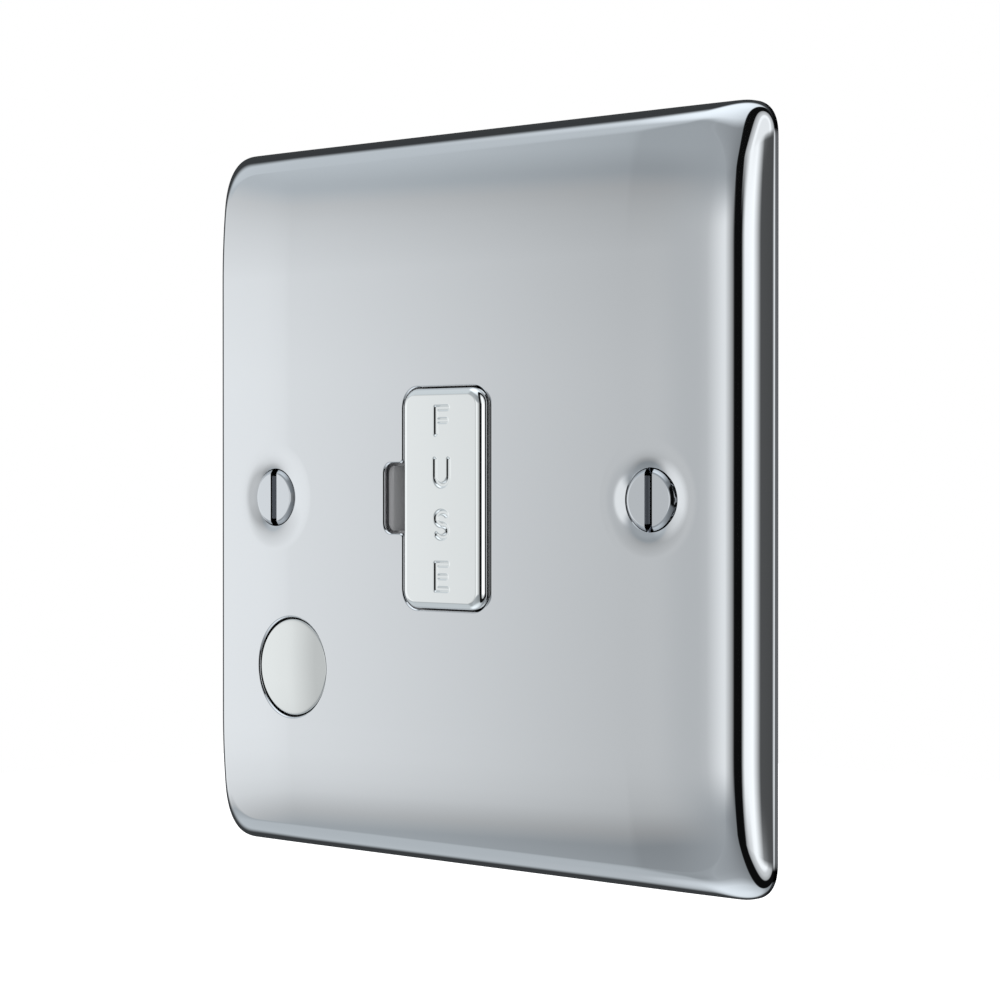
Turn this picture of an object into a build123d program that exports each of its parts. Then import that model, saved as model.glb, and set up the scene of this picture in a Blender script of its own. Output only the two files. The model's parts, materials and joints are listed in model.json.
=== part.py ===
# Fused spur unit: a pressed chrome plate, a moulded base with its terminals,
# and a pull-out carrier for a cartridge fuse. Millimetres, +Z up, front towards -Y,
# origin at the centre of the plate's wall plane.
import os

from build123d import *

# Front plate, one pressed sheet
plate_side = 86.0
plate_corner = 5.0
plate_rise = 6.45
plate_crown = 0.25
plate_skirt = 0.6
plate_roll = 4.0
steel = 0.8
opening_lip = 0.3

# Fixing screws and the dimples that they lie in
fixing_pitch = 60.3
fixing_shank_r = 1.75
fixing_hole_r = 2.0
fixing_length = 20.0
fixing_tip = 0.5
fixing_head_r = 3.4
fixing_head_band = 0.7
fixing_flat_r = 2.86
fixing_crest_r = 3.2
fixing_crest = 0.15
fixing_slot = 1.08
fixing_slot_depth = 1.1
dimple_r = 4.45
dimple_round = 1.4
seat_slip = 0.05

# Cartridge fuse, standing upright behind the carrier's face
fuse_length = 25.4
fuse_r = 3.175
fuse_tube_r = 2.95
fuse_cap_length = 6.2
fuse_cap_wall = 0.3
fuse_cap_round = 0.4
fuse_cap_slip = 0.02
fuse_y = 3.5

# Fuse carrier and its plated cap
carrier_w = 13.1
carrier_end_margin = 0.05
carrier_proud = 1.25
carrier_corner = 2.1
carrier_edge = 1.0
carrier_gap = 0.35
carrier_gap_left = 0.9
carrier_gap_right = 0.2
carrier_slip = 0.15
cap_wall = 0.8
cap_depth = 3.8
cap_slip = 0.05
carrier_step = 0.1
carrier_fuse_gap = 0.3
cradle_end_gap = 0.6
cradle_slip = 0.1
cradle_lip = 0.35
cradle_mouth = 4.2
pry_depth = 1.2
pry_height = 1.5
pry_length = 6.0

# Pry notch beside the carrier
notch_w = 3.2
notch_h = 8.2
notch_corner = 1.2
notch_ramp = 2.4
notch_gap = 0.25
notch_land = 0.95
tongue_rise = 0.35

# Flex outlet and its blanking plug
outlet_x = -26.75
outlet_z = -20.7
outlet_r = 6.1
plug_gap = 0.25
plug_dome = 0.5
plug_edge = 0.4
plug_boss_r = 4.9
plug_boss_slip = 0.1
plug_boss_length = 3.1
plug_wall = 1.0
outlet_ring_wall = 2.0
outlet_ring_height = 3.1

# Moulded base
flange_w = 68.0
flange_h = 72.0
flange_corner = 3.0
flange_gap = 1.05
flange_thick = 2.0
platform_gap = 0.15
platform_margin = 4.0
well_wall = 2.0
well_floor_gap = 1.3
well_floor = 1.5
body_wall = 1.9
body_round = 1.5
dimple_room = 1.5

# Pillar terminals, their strips and screws
block = 9.0
block_depth = 8.5
block_round = 0.4
block_z = 14.0
pocket_slip = 0.1
wire_r = 2.1
wire_y = 3.2
wire_funnel = 0.5
strip = 0.5
strip_w = 7.0
clip_w = 5.0
clip_slip = 0.1
clip_grip = 1.5
screw_r = 2.0
screw_slip = 0.05
screw_tip_gap = 0.15
screw_head_r = 3.0
screw_head = 2.4
screw_head_round = 0.3
screw_raise = 1.0
screw_slot = 0.9
screw_slot_depth = 1.2

# Rear cover and its screws
cover_room = 4.5
cover_thick = 2.0
cover_tube_wall = 1.0
cover_tube_room = 0.4
cover_tube_gap = 0.1
cover_screw_r = 1.25
cover_screw_length = 8.0
pan_head_r = 2.6
pan_head = 1.8
pan_head_round = 0.7
pan_slot = 0.7
pan_slot_depth = 0.9

# Weld studs behind the plate, with nuts that hold the base
stud_x = 22.0
stud_z = 26.5
stud_r = 1.5
stud_shoulder_r = 2.5
stud_boss_r = 3.6
stud_boss = 1.2
stud_slip = 0.1
stud_end = 3.8
nut_flats = 5.5
nut_thick = 2.4

# Earth terminal and the strap that bonds the plate
earth_w = 16.0
earth_h = 8.0
earth_pitch = 8.0
earth_strap = 0.8
earth_strap_w = 7.0
earth_rib = 1.2
earth_rib_height = 3.0

# Cord grip under the terminals
clamp_z = -28.1
clamp_pitch = 9.6
clamp_post_r = 1.9
clamp_post = 6.1
clamp_bar_w = 6.0
clamp_bar = 2.5
clamp_bar_end = 2.2
clamp_ridge = 0.8
clamp_screw_length = 6.0
pilot_spare = 0.5
through_slip = 0.25

# Levels along Y, worked out from the sizes above
face_y = -plate_rise
plate_inner_y = face_y + steel
carrier_front_y = face_y - carrier_proud
platform_y = plate_inner_y + platform_gap
flange_front_y = plate_inner_y + flange_gap
flange_back_y = flange_front_y + flange_thick
floor_y = fuse_y + fuse_r + well_floor_gap
strip_y = floor_y + well_floor
body_rear_y = strip_y + cover_room
cover_rear_y = body_rear_y + cover_thick
block_front_y = strip_y - block_depth
bore_y = block_front_y + wire_y
screw_tip_y = bore_y + wire_r + screw_tip_gap
screw_head_y = strip_y + strip + screw_raise
screw_length = screw_head_y - screw_tip_y
boss_y = flange_back_y + stud_boss
earth_front_y = boss_y + earth_strap
cap_rear_y = carrier_front_y + cap_depth
head_rear_y = fuse_y - fuse_r - carrier_fuse_gap
cradle_rear_y = fuse_y + fuse_tube_r
clamp_y = flange_back_y + clamp_post

# Places in the X-Z plane
carrier_h = fuse_length + 2 * carrier_end_margin
opening_w = carrier_w + carrier_gap_left + carrier_gap_right
opening_x = (carrier_gap_right - carrier_gap_left) / 2
opening_left = opening_x - opening_w / 2
opening_h = carrier_h + 2 * carrier_gap
opening_corner = carrier_corner + carrier_gap
well_w = carrier_w + 2 * carrier_slip
well_h = carrier_h + 2 * carrier_slip
well_corner = carrier_corner + carrier_slip
block_x = well_w / 2 + well_wall + pocket_slip + block / 2
body_w = 2 * (block_x + block / 2 + pocket_slip + body_wall)
body_h = 2 * (block_z + block / 2 + pocket_slip + body_wall)
pocket = block + 2 * pocket_slip
clip_z = (fuse_length - fuse_cap_length) / 2
cradle_half = fuse_length / 2 - fuse_cap_length - cradle_end_gap
cover_screw_z = (well_h + body_h) / 4
clip_half = fuse_r + clip_slip + strip
boss_bore_r = plug_boss_r + plug_boss_slip
shoulder = plate_side / 2 - plate_roll
dimple_face_y = face_y + plate_crown * (fixing_pitch / 2 / shoulder) ** 2
outlet_face_y = face_y + plate_crown * (outlet_x**2 + outlet_z**2) / shoulder**2
earth_bores = [-earth_pitch / 2, earth_pitch / 2]
studs = [(stud_x, stud_z), (-stud_x, stud_z), (stud_x, -stud_z)]
corners = [(x, z) for z in (block_z, -block_z) for x in (block_x, -block_x)]
clamp_posts = [clamp_z + clamp_pitch / 2, clamp_z - clamp_pitch / 2]


def front(y):
    """A drawing plane at the level y, seen from the front: its X is +X and its Y is +Z."""
    return Plane.XZ.offset(-y)


def rear_screw(x, z, tip_y, length, shank_r, head_r, head, head_round, slot, slot_depth):
    """A slotted screw driven from behind, its tip at tip_y."""
    head_y = tip_y + length
    with BuildPart() as screw:
        with BuildSketch(front(tip_y)):
            with Locations((x, z)):
                Circle(shank_r)
        extrude(amount=-length)
        with BuildSketch(front(head_y)):
            with Locations((x, z)):
                Circle(head_r)
        extrude(amount=-head)
        fillet(screw.faces().sort_by(Axis.Y)[-1].edges(), radius=head_round)
        with BuildSketch(front(head_y + head)):
            with Locations((x, z)):
                Rectangle(2 * head_r, slot)
        extrude(amount=slot_depth, mode=Mode.SUBTRACT)
    return screw.part


def pillow(inset):
    """The pressed form, closed at the wall plane and drawn in by inset from the outer skin."""
    width = plate_side - 2 * inset
    rise = plate_rise - inset
    roll = plate_roll - inset
    stretch = (rise - plate_crown - plate_skirt) / roll
    sag = plate_crown / stretch
    ball = (shoulder**2 + sag**2) / (2 * sag)
    depth = rise / stretch
    with BuildPart() as skin:
        with BuildSketch(front(plate_skirt)):
            RectangleRounded(width, width, plate_corner - inset)
        extrude(amount=depth + plate_skirt)
        with Locations((0, ball - depth, 0)):
            Sphere(ball, mode=Mode.INTERSECT)
        fillet(skin.faces().sort_by(Axis.Y)[0].edges(), radius=roll)
    return scale(skin.part, by=(1, stretch, 1))


def dimple(grow, top_y):
    """The dished seat of both fixing screws, grown outwards by grow and closed at top_y."""
    seat_r = fixing_head_r + seat_slip
    seat_y = dimple_face_y + fixing_head_band
    flare = (dimple_r - seat_r) / fixing_head_band
    bottom_y = seat_y + seat_r - fixing_hole_r
    rim_r = seat_r + grow + flare * (seat_y - top_y)
    with BuildPart() as dish:
        for side in (-1, 1):
            axis_x = side * fixing_pitch / 2
            with BuildSketch(Plane.XY):
                with BuildLine():
                    Polyline(
                        (axis_x, top_y),
                        (axis_x + rim_r, top_y),
                        (axis_x + seat_r + grow, seat_y),
                        (axis_x + fixing_hole_r + grow, bottom_y),
                        (axis_x, bottom_y),
                        close=True,
                    )
                make_face()
            revolve(axis=Axis((axis_x, 0, 0), (0, 1, 0)))
    return dish.part


def rim(plate, x, z, reach):
    """The edges of the plate's outer face that lie within reach of the point (x, z)."""
    outer = [e for e in plate.edges() if e.bounding_box().max.Y < face_y + steel / 2]
    near = [e for e in outer if abs(e.center().X - x) < reach]
    return [e for e in near if abs(e.center().Z - z) < reach]


os.makedirs("parts", exist_ok=True)

# Front plate: pressed shell, dished seats, openings with rounded lips, weld studs behind
skin_outer = pillow(0)
skin_inner = pillow(steel)
dimple_back = dimple(steel, plate_inner_y)
dimple_front = dimple(0, face_y - opening_lip)
with BuildPart() as front_plate:
    add(skin_outer)
    add(skin_inner, mode=Mode.SUBTRACT)
    add(dimple_back)
    add(dimple_front, mode=Mode.SUBTRACT)
    split(bisect_by=Plane.XZ, keep=Keep.TOP)
    with BuildSketch(front(0)):
        with Locations((-fixing_pitch / 2, 0), (fixing_pitch / 2, 0)):
            Circle(fixing_hole_r)
    extrude(amount=plate_rise, mode=Mode.SUBTRACT)
    with BuildSketch(front(plate_inner_y + steel)):
        with Locations((opening_x, 0)):
            RectangleRounded(opening_w, opening_h, opening_corner)
        with Locations((opening_left, 0)):
            RectangleRounded(2 * notch_w, notch_h, notch_corner)
        with Locations((outlet_x, outlet_z)):
            Circle(outlet_r)
    extrude(amount=plate_rise, mode=Mode.SUBTRACT)
    fillet(rim(front_plate, 0, 0, opening_h / 2 + steel), radius=opening_lip)
    fillet(rim(front_plate, outlet_x, outlet_z, outlet_r + steel), radius=opening_lip)
    for side in (-1, 1):
        fillet(rim(front_plate, side * fixing_pitch / 2, 0, dimple_r + steel), radius=dimple_round)
    with BuildSketch(front(flange_front_y)):
        with Locations(*studs):
            Circle(stud_shoulder_r)
    extrude(until=Until.NEXT)
    with BuildSketch(front(flange_front_y)):
        with Locations(*studs):
            Circle(stud_r)
    extrude(amount=-(stud_end + flange_thick + stud_boss))
front_plate.part.label = "front_plate"
export_step(front_plate.part, "parts/front_plate.step")

# Moulded base: flange, platform behind the plate, carrier well, terminal chambers, cord posts
earth_left = earth_w / 2 + pocket_slip + earth_rib
earth_pad = (stud_x + stud_boss_r + earth_left, earth_h)
earth_pad_at = ((stud_x + stud_boss_r - earth_left) / 2, stud_z)
tongue_w = notch_w - notch_gap
tongue_h = notch_h - 2 * notch_gap
tongue_y = platform_y - tongue_rise
ramp_x = opening_left - tongue_w + notch_land
ramp_y = platform_y + notch_ramp
channel_x = (block_x + strip_w / 2 - clip_half) / 2
channel_w = block_x + strip_w / 2 + clip_half + 2 * pocket_slip
with BuildPart() as base_moulding:
    with BuildSketch(front(flange_back_y)):
        RectangleRounded(flange_w, flange_h, flange_corner)
    extrude(amount=flange_thick)
    with BuildSketch(front(flange_front_y)):
        RectangleRounded(
            opening_w + 2 * notch_w + platform_margin, opening_h + 2 * platform_margin, flange_corner
        )
    extrude(amount=flange_front_y - platform_y)
    with BuildSketch(front(platform_y)):
        with Locations((opening_left, 0)):
            RectangleRounded(2 * tongue_w, tongue_h, notch_corner - notch_gap)
    extrude(amount=tongue_rise)
    with BuildSketch(front(body_rear_y)):
        RectangleRounded(body_w, body_h, body_round)
    extrude(amount=body_rear_y - flange_back_y)
    with BuildSketch(front(flange_back_y)):
        with Locations((outlet_x, outlet_z)):
            Circle(boss_bore_r + outlet_ring_wall)
    extrude(amount=-outlet_ring_height)
    with BuildSketch(front(flange_back_y)):
        with Locations(*studs):
            Circle(stud_boss_r)
        with Locations(earth_pad_at):
            Rectangle(*earth_pad)
    extrude(amount=-stud_boss)
    with BuildSketch(front(boss_y)):
        with Locations((-(earth_left - earth_rib / 2), stud_z)):
            Rectangle(earth_rib, earth_h)
    extrude(amount=-earth_rib_height)
    with BuildSketch(front(flange_back_y)):
        with Locations((0, stud_z - earth_h / 2 - pocket_slip - earth_rib / 2)):
            Rectangle(earth_w, earth_rib)
    extrude(amount=-(stud_boss + earth_rib_height))
    with BuildSketch(front(flange_back_y)):
        with Locations(*[(0, z) for z in clamp_posts]):
            Circle(clamp_post_r)
    extrude(amount=-clamp_post)
    # Carrier well, and the ramp that leads a driver's tip to it from the tongue in the notch
    with BuildSketch(front(floor_y)):
        RectangleRounded(well_w, well_h, well_corner)
    extrude(amount=floor_y + plate_rise, mode=Mode.SUBTRACT)
    with BuildSketch(Plane.XY):
        with BuildLine():
            Polyline(
                (ramp_x, tongue_y),
                (0, tongue_y),
                (0, ramp_y),
                (-well_w / 2, ramp_y),
                close=True,
            )
        make_face()
    extrude(amount=tongue_h / 2, both=True, mode=Mode.SUBTRACT)
    # Holes through the flange
    with BuildSketch(front(flange_back_y + outlet_ring_height)):
        with Locations((outlet_x, outlet_z)):
            Circle(boss_bore_r)
    extrude(amount=plate_rise + outlet_ring_height, mode=Mode.SUBTRACT)
    with BuildSketch(front(boss_y)):
        with Locations((-fixing_pitch / 2, 0), (fixing_pitch / 2, 0)):
            Circle(dimple_r + dimple_room)
        with Locations(*studs):
            Circle(stud_r + stud_slip)
    extrude(amount=plate_rise, mode=Mode.SUBTRACT)
    # Terminal chambers, and the channels of the strips behind the well's floor
    with BuildSketch(front(body_rear_y)):
        with Locations(*corners):
            Rectangle(pocket, pocket)
    extrude(amount=body_rear_y - block_front_y + pocket_slip, mode=Mode.SUBTRACT)
    with BuildSketch(front(body_rear_y)):
        with Locations((channel_x, clip_z), (channel_x, -clip_z)):
            Rectangle(channel_w, clip_w + 2 * pocket_slip)
        with Locations((-block_x, 0)):
            Rectangle(strip_w + 2 * pocket_slip, 2 * block_z)
    extrude(amount=cover_room, mode=Mode.SUBTRACT)
    with BuildSketch(front(strip_y)):
        with Locations((0, clip_z), (0, -clip_z)):
            Rectangle(2 * (clip_half + pocket_slip), clip_w + 2 * pocket_slip)
    extrude(amount=2 * well_floor, mode=Mode.SUBTRACT)
    # Ways in for the wires, above and below
    with BuildSketch(Plane.XY.offset(body_h / 2)):
        with Locations((block_x, bore_y), (-block_x, bore_y)):
            Circle(wire_r + wire_funnel)
    extrude(amount=-(body_wall + pocket_slip), mode=Mode.SUBTRACT)
    with BuildSketch(Plane.XY.offset(-body_h / 2)):
        with Locations((block_x, bore_y), (-block_x, bore_y)):
            Circle(wire_r + wire_funnel)
    extrude(amount=body_wall + pocket_slip, mode=Mode.SUBTRACT)
    # Pilot holes of the cover's screws and of the cord grip's
    with BuildSketch(front(body_rear_y)):
        with Locations((0, cover_screw_z), (0, -cover_screw_z)):
            Circle(cover_screw_r)
    extrude(amount=cover_screw_length - cover_thick + pilot_spare, mode=Mode.SUBTRACT)
    with BuildSketch(front(clamp_y)):
        with Locations(*[(0, z) for z in clamp_posts]):
            Circle(cover_screw_r)
    extrude(amount=clamp_screw_length - clamp_bar + pilot_spare, mode=Mode.SUBTRACT)
base_moulding.part.label = "base_moulding"
export_step(base_moulding.part, "parts/base_moulding.step")

# Rear cover, with a tube over each terminal screw
tube_r = screw_head_r + cover_tube_room
with BuildPart() as rear_cover:
    with BuildSketch(front(cover_rear_y)):
        RectangleRounded(body_w, body_h, body_round)
    extrude(amount=cover_thick)
    with BuildSketch(front(body_rear_y)):
        with Locations(*corners):
            Circle(tube_r + cover_tube_wall)
    extrude(amount=cover_room - strip - cover_tube_gap)
    with BuildSketch(front(cover_rear_y)):
        with Locations(*corners):
            Circle(tube_r)
        with Locations((0, cover_screw_z), (0, -cover_screw_z)):
            Circle(cover_screw_r + through_slip)
    extrude(amount=cover_thick + cover_room, mode=Mode.SUBTRACT)
rear_cover.part.label = "rear_cover"
export_step(rear_cover.part, "parts/rear_cover.step")

# Fuse carrier: a nose inside the plated cap, a head that fits the well, a snap cradle
head_w = carrier_w - 2 * carrier_step
head_h = carrier_h - 2 * carrier_step
nose_inset = 2 * (cap_wall + cap_slip)
with BuildPart() as fuse_carrier:
    with BuildSketch(front(head_rear_y)):
        RectangleRounded(head_w, head_h, carrier_corner - carrier_step)
    extrude(amount=head_rear_y - cap_rear_y)
    with BuildSketch(front(cap_rear_y)):
        RectangleRounded(
            carrier_w - nose_inset, carrier_h - nose_inset, carrier_corner - nose_inset / 2
        )
    extrude(amount=cap_depth - cap_wall - cap_slip)
    with BuildSketch(front(cradle_rear_y)):
        Rectangle(head_w, 2 * cradle_half)
    extrude(amount=cradle_rear_y - head_rear_y)
    with BuildSketch(Plane.XY):
        with Locations((0, fuse_y)):
            Circle(fuse_tube_r + cradle_slip)
            Rectangle(
                2 * (fuse_tube_r + cradle_slip - cradle_lip), cradle_mouth, align=(Align.CENTER, Align.MIN)
            )
    extrude(amount=cradle_half, both=True, mode=Mode.SUBTRACT)
    with BuildSketch(front(cap_rear_y + pry_height)):
        with Locations((-head_w / 2, 0)):
            Rectangle(2 * pry_depth, pry_length)
    extrude(amount=pry_height, mode=Mode.SUBTRACT)
fuse_carrier.part.label = "fuse_carrier"
export_step(fuse_carrier.part, "parts/fuse_carrier.step")

# Plated cap over the carrier's nose
with BuildPart() as carrier_cap:
    with BuildSketch(front(cap_rear_y)):
        RectangleRounded(carrier_w, carrier_h, carrier_corner)
    extrude(amount=cap_depth)
    fillet(carrier_cap.faces().sort_by(Axis.Y)[0].edges(), radius=carrier_edge)
    with BuildSketch(front(cap_rear_y)):
        RectangleRounded(carrier_w - 2 * cap_wall, carrier_h - 2 * cap_wall, carrier_corner - cap_wall)
    extrude(amount=cap_depth - cap_wall, mode=Mode.SUBTRACT)
carrier_cap.part.label = "carrier_cap"
export_step(carrier_cap.part, "parts/carrier_cap.step")


def fuse_cap(side):
    """One end cap of the fuse, a drawn cup at the upper (1) or lower (-1) end."""
    mouth_z = side * (fuse_length / 2 - fuse_cap_length)
    with BuildPart() as cup:
        with BuildSketch(Plane.XY.offset(mouth_z)):
            with Locations((0, fuse_y)):
                Circle(fuse_r)
        extrude(amount=side * fuse_cap_length)
        end = cup.faces().sort_by(Axis.Z)[-1 if side > 0 else 0]
        fillet(end.edges(), radius=fuse_cap_round)
        with BuildSketch(Plane.XY.offset(mouth_z)):
            with Locations((0, fuse_y)):
                Circle(fuse_r - fuse_cap_wall)
        extrude(amount=side * (fuse_cap_length - fuse_cap_wall), mode=Mode.SUBTRACT)
    return cup.part


# Cartridge fuse: a ceramic tube with its ends stepped down inside two caps
with BuildPart() as fuse_tube:
    with BuildSketch(Plane.XY):
        with Locations((0, fuse_y)):
            Circle(fuse_tube_r)
    extrude(amount=fuse_length / 2 - fuse_cap_length - fuse_cap_slip, both=True)
    with BuildSketch(Plane.XY):
        with Locations((0, fuse_y)):
            Circle(fuse_r - fuse_cap_wall - fuse_cap_slip)
    extrude(amount=fuse_length / 2 - fuse_cap_wall - fuse_cap_slip, both=True)
fuse_tube.part.label = "fuse_tube"
export_step(fuse_tube.part, "parts/fuse_tube.step")

with BuildPart() as fuse_cap_top:
    add(fuse_cap(1))
fuse_cap_top.part.label = "fuse_cap_top"
export_step(fuse_cap_top.part, "parts/fuse_cap_top.step")

with BuildPart() as fuse_cap_bottom:
    add(fuse_cap(-1))
fuse_cap_bottom.part.label = "fuse_cap_bottom"
export_step(fuse_cap_bottom.part, "parts/fuse_cap_bottom.step")


def fuse_clip(side):
    """A sprung clip on one end cap, with its strip to the live block on that side."""
    lap = strip_w / 2
    reach = block_z + lap - clip_z + clip_w / 2
    with BuildPart() as clip:
        with BuildSketch(front(strip_y + strip)):
            with Locations(((block_x + lap - clip_half) / 2, side * clip_z)):
                Rectangle(block_x + lap + clip_half, clip_w)
            with Locations((block_x, side * (block_z + lap - reach / 2))):
                Rectangle(strip_w, reach)
            with Locations((block_x, side * block_z)):
                Circle(screw_r + through_slip, mode=Mode.SUBTRACT)
        extrude(amount=strip)
        arm_x = clip_half - strip / 2
        with BuildSketch(front(strip_y)):
            with Locations((arm_x, side * clip_z), (-arm_x, side * clip_z)):
                Rectangle(strip, clip_w)
        extrude(amount=strip_y - fuse_y + clip_grip)
    return clip.part


# Sprung clips, one on each end of the fuse
with BuildPart() as supply_clip:
    add(fuse_clip(1))
supply_clip.part.label = "supply_clip"
export_step(supply_clip.part, "parts/supply_clip.step")

with BuildPart() as load_clip:
    add(fuse_clip(-1))
load_clip.part.label = "load_clip"
export_step(load_clip.part, "parts/load_clip.step")


def pillar_block(x, z):
    """A brass block with an upright wire bore and a tapped hole from behind."""
    with BuildPart() as body:
        with BuildSketch(front(strip_y)):
            with Locations((x, z)):
                RectangleRounded(block, block, block_round)
        extrude(amount=block_depth)
        with BuildSketch(Plane.XY.offset(z)):
            with Locations((x, bore_y)):
                Circle(wire_r)
        extrude(amount=block, both=True, mode=Mode.SUBTRACT)
        with BuildSketch(front(strip_y)):
            with Locations((x, z)):
                Circle(screw_r)
        extrude(amount=strip_y - bore_y, mode=Mode.SUBTRACT)
    return body.part


# Pillar terminals in the four chambers
with BuildPart() as live_supply_terminal:
    add(pillar_block(block_x, block_z))
live_supply_terminal.part.label = "live_supply_terminal"
export_step(live_supply_terminal.part, "parts/live_supply_terminal.step")

with BuildPart() as live_load_terminal:
    add(pillar_block(block_x, -block_z))
live_load_terminal.part.label = "live_load_terminal"
export_step(live_load_terminal.part, "parts/live_load_terminal.step")

with BuildPart() as neutral_supply_terminal:
    add(pillar_block(-block_x, block_z))
neutral_supply_terminal.part.label = "neutral_supply_terminal"
export_step(neutral_supply_terminal.part, "parts/neutral_supply_terminal.step")

with BuildPart() as neutral_load_terminal:
    add(pillar_block(-block_x, -block_z))
neutral_load_terminal.part.label = "neutral_load_terminal"
export_step(neutral_load_terminal.part, "parts/neutral_load_terminal.step")

# Neutral link, a strip that joins the two neutral blocks
with BuildPart() as neutral_link:
    with BuildSketch(front(strip_y + strip)):
        with Locations((-block_x, 0)):
            Rectangle(strip_w, 2 * block_z + strip_w)
        with Locations((-block_x, block_z), (-block_x, -block_z)):
            Circle(screw_r + through_slip, mode=Mode.SUBTRACT)
    extrude(amount=strip)
neutral_link.part.label = "neutral_link"
export_step(neutral_link.part, "parts/neutral_link.step")

# Earth terminal, two bores side by side
earth_bore_y = earth_front_y + wire_y
with BuildPart() as earth_terminal:
    with BuildSketch(front(earth_front_y + block_depth)):
        with Locations((0, stud_z)):
            RectangleRounded(earth_w, earth_h, block_round)
    extrude(amount=block_depth)
    with BuildSketch(Plane.XY.offset(stud_z)):
        with Locations(*[(x, earth_bore_y) for x in earth_bores]):
            Circle(wire_r)
    extrude(amount=earth_h, both=True, mode=Mode.SUBTRACT)
    with BuildSketch(front(earth_front_y + block_depth)):
        with Locations(*[(x, stud_z) for x in earth_bores]):
            Circle(screw_r)
    extrude(amount=block_depth - wire_y, mode=Mode.SUBTRACT)
earth_terminal.part.label = "earth_terminal"
export_step(earth_terminal.part, "parts/earth_terminal.step")

# Earth strap, from under the block to a stud of the plate
strap_length = earth_w / 2 + stud_x + earth_strap_w / 2
with BuildPart() as earth_bond:
    with BuildSketch(front(earth_front_y)):
        with Locations((strap_length / 2 - earth_w / 2, stud_z)):
            RectangleRounded(strap_length, earth_strap_w, body_round)
        with Locations((stud_x, stud_z)):
            Circle(stud_r + stud_slip, mode=Mode.SUBTRACT)
    extrude(amount=earth_strap)
earth_bond.part.label = "earth_strap"
export_step(earth_bond.part, "parts/earth_strap.step")

# Terminal screws, all alike, four in the chambers and two in the earth block
earth_tip_y = earth_bore_y + wire_r + screw_tip_gap
screw_places = [(x, z, screw_tip_y) for x, z in corners]
screw_places = screw_places + [(x, stud_z, earth_tip_y) for x in earth_bores]
with BuildPart() as terminal_screws:
    for x, z, tip_y in screw_places:
        add(
            rear_screw(
                x, z, tip_y, screw_length, screw_r - screw_slip,
                screw_head_r, screw_head, screw_head_round, screw_slot, screw_slot_depth,
            )
        )
terminal_screws.part.label = "terminal_screws"
export_step(terminal_screws.part, "parts/terminal_screws.step")

# Screws of the rear cover
with BuildPart() as cover_screws:
    for z in (cover_screw_z, -cover_screw_z):
        add(
            rear_screw(
                0, z, cover_rear_y - cover_screw_length, cover_screw_length, cover_screw_r - screw_slip,
                pan_head_r, pan_head, pan_head_round, pan_slot, pan_slot_depth,
            )
        )
cover_screws.part.label = "cover_screws"
export_step(cover_screws.part, "parts/cover_screws.step")

# Fixing screws, countersunk, with a slot that stands upright
seat_y = dimple_face_y + fixing_head_band
tip_y = dimple_face_y + fixing_length
with BuildPart() as fixing_screws:
    for axis_x in (-fixing_pitch / 2, fixing_pitch / 2):
        with BuildSketch(Plane.XY):
            with BuildLine():
                Polyline(
                    (axis_x, dimple_face_y),
                    (axis_x + fixing_flat_r, dimple_face_y),
                    (axis_x + fixing_crest_r, dimple_face_y + fixing_crest),
                    (axis_x + fixing_head_r, seat_y),
                    (axis_x + fixing_shank_r, seat_y + fixing_head_r - fixing_shank_r),
                    (axis_x + fixing_shank_r, tip_y - fixing_tip),
                    (axis_x + fixing_shank_r - fixing_tip, tip_y),
                    (axis_x, tip_y),
                    close=True,
                )
            make_face()
        revolve(axis=Axis((axis_x, 0, 0), (0, 1, 0)))
    with BuildSketch(front(dimple_face_y + fixing_slot_depth)):
        with Locations((-fixing_pitch / 2, 0), (fixing_pitch / 2, 0)):
            Rectangle(fixing_slot, 2 * fixing_head_r)
    extrude(amount=2 * fixing_slot_depth, mode=Mode.SUBTRACT)
fixing_screws.part.label = "fixing_screws"
export_step(fixing_screws.part, "parts/fixing_screws.step")

# Blanking plug of the flex outlet: a domed face, a shoulder on the flange, a hollow boss
plug_r = outlet_r - plug_gap
plug_edge_y = outlet_face_y + plug_edge
plug_rear_y = flange_front_y + plug_boss_length
with BuildPart() as flex_plug:
    with BuildSketch(Plane.XY.offset(outlet_z)):
        with BuildLine():
            rise = plug_dome + plug_edge
            ball = (plug_r**2 + rise**2) / (2 * rise)
            half_chord = plug_r / 2
            Line((outlet_x, plug_rear_y), (outlet_x, outlet_face_y - plug_dome))
            ThreePointArc(
                (outlet_x, outlet_face_y - plug_dome),
                (
                    outlet_x + half_chord,
                    outlet_face_y - plug_dome + ball - (ball**2 - half_chord**2) ** 0.5,
                ),
                (outlet_x + plug_r, plug_edge_y),
            )
            Polyline(
                (outlet_x + plug_r, plug_edge_y),
                (outlet_x + plug_r, flange_front_y),
                (outlet_x + plug_boss_r, flange_front_y),
                (outlet_x + plug_boss_r, plug_rear_y),
                (outlet_x, plug_rear_y),
            )
        make_face()
    revolve(axis=Axis((outlet_x, 0, outlet_z), (0, 1, 0)))
    with BuildSketch(front(plug_rear_y)):
        with Locations((outlet_x, outlet_z)):
            Circle(plug_boss_r - plug_wall)
    extrude(amount=plug_rear_y - outlet_face_y - plug_wall, mode=Mode.SUBTRACT)
flex_plug.part.label = "flex_plug"
export_step(flex_plug.part, "parts/flex_plug.step")

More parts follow.
